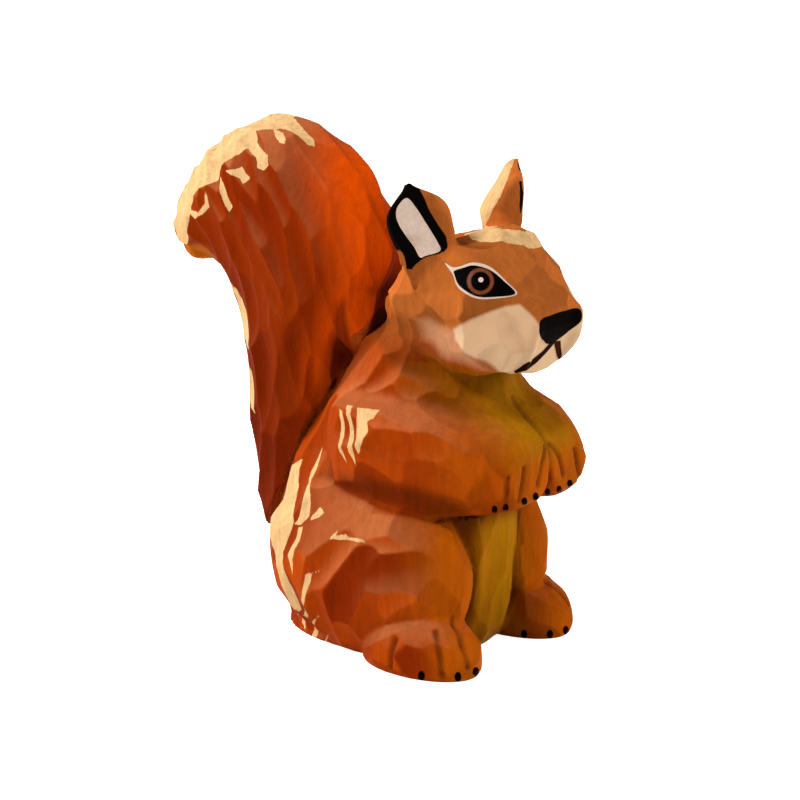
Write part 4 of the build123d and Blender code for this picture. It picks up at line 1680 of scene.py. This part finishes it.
# Stage
def floor_material(colours):
    """Pale floor that shows white to the camera and keeps the shadow."""
    made, tree, shader = material_named("Pale Floor")
    place = node(tree, "ShaderNodeTexCoord").outputs["Object"]
    tone = spread(tree, noise(tree, place, 6.0), 0.3, 0.7, 0.97, 1.0)
    tinted = mixed(tree, tone, opaque(shade(colours.floor, 0.95)), opaque(colours.floor))
    tree.links.new(tinted, shader.inputs["Base Color"])
    shader.inputs["Roughness"].default_value = FLOOR_ROUGHNESS
    rays = node(tree, "ShaderNodeLightPath")
    seen = sums(tree, "MAXIMUM", rays.outputs["Is Camera Ray"], rays.outputs["Is Glossy Ray"])
    seen = sums(tree, "MAXIMUM", seen, rays.outputs["Is Transmission Ray"])
    lift = node(tree, "ShaderNodeEmission", {"Color": opaque((1, 1, 1)), "Strength": FLOOR_LIFT})
    both = node(tree, "ShaderNodeAddShader", {0: shader.outputs[0], 1: lift.outputs[0]})
    pick = node(tree, "ShaderNodeMixShader", {0: seen, 1: shader.outputs[0], 2: both.outputs[0]})
    tree.links.new(pick.outputs[0], tree.nodes["Material Output"].inputs["Surface"])
    return made


def white_world(scene):
    """Even soft light, white where it is seen."""
    world = bpy.data.worlds.new("Soft Studio")
    scene.world = world
    world.use_nodes = True
    tree = world.node_tree
    ground = tree.nodes["Background"]
    ground.inputs["Color"].default_value = opaque((1, 1, 1))
    rays = node(tree, "ShaderNodeLightPath")
    seen = sums(tree, "MAXIMUM", rays.outputs["Is Camera Ray"], rays.outputs["Is Transmission Ray"])
    tree.links.new(spread(tree, seen, 0.0, 1.0, WORLD_LEVEL, 1.0), ground.inputs["Strength"])


class SQUIRREL_OT_stage(SquirrelOperator, bpy.types.Operator):
    """Set the floor, the soft lamps, the white surround and the camera"""

    bl_idname = "squirrel.stage"
    bl_label = "Set Stage"

    def execute(self, context):
        scene = context.scene
        work = bmesh.new()
        bmesh.ops.create_circle(work, cap_ends=True, segments=96, radius=FLOOR_RADIUS)
        mesh = mesh_from(work, "floor")
        mesh.materials.append(floor_material(settings()[1]))
        loose_object("floor", mesh)
        white_world(scene)
        for name, place, side, power, tint in LAMPS:
            lamp = bpy.data.lights.new(name, "AREA")
            lamp.size = side
            lamp.energy = power
            lamp.color = tint
            held = loose_object(name, lamp)
            held.location = place
            held.rotation_euler = (CAMERA_TARGET - Vector(place)).to_track_quat("-Z", "Y").to_euler()
        view = bpy.data.cameras.new("picture_camera")
        view.sensor_width = SENSOR_WIDTH
        view.lens = SENSOR_WIDTH * FOCAL_PIXELS / IMAGE_SIDE
        view.clip_start = CLIP_START
        held = loose_object("picture_camera", view)
        held.location = CAMERA_PLACE
        held.rotation_euler = (CAMERA_TARGET - CAMERA_PLACE).to_track_quat("-Z", "Y").to_euler()
        scene.camera = held
        scene.view_settings.view_transform = "Standard"
        return {"FINISHED"}


OPERATORS = (
    SQUIRREL_OT_stage, SQUIRREL_OT_carve, SQUIRREL_OT_dowels, SQUIRREL_OT_eyes,
    SQUIRREL_OT_muzzle, SQUIRREL_OT_ears, SQUIRREL_OT_claws,
)


class SQUIRREL_PT_panel(bpy.types.Panel):
    """Sizes, colours and steps of the figurine"""

    bl_idname = "SQUIRREL_PT_panel"
    bl_label = "Carved Squirrel"
    bl_space_type = "VIEW_3D"
    bl_region_type = "UI"
    bl_category = "Squirrel"

    def draw(self, context):
        for group in settings():
            box = self.layout.box()
            for name in group.__annotations__:
                box.prop(group, name)
        for step in OPERATORS:
            self.layout.operator(step.bl_idname)


CLASSES = (SquirrelSizes, SquirrelColours, *OPERATORS, SQUIRREL_PT_panel)


def register():
    """Add the classes and their settings to Blender."""
    for kind in CLASSES:
        bpy.utils.register_class(kind)
    bpy.types.Scene.squirrel_sizes = PointerProperty(type=SquirrelSizes)
    bpy.types.Scene.squirrel_colours = PointerProperty(type=SquirrelColours)


def unregister():
    """Take the classes and their settings out again."""
    del bpy.types.Scene.squirrel_colours
    del bpy.types.Scene.squirrel_sizes
    for kind in reversed(CLASSES):
        bpy.utils.unregister_class(kind)


def main():
    """Build the figurine and its stage."""
    register()
    bpy.ops.squirrel.stage()
    bpy.ops.squirrel.carve()
    bpy.ops.squirrel.dowels()
    bpy.ops.squirrel.eyes()
    bpy.ops.squirrel.muzzle()
    bpy.ops.squirrel.ears()
    bpy.ops.squirrel.claws()


if __name__ == "__main__":
    main()
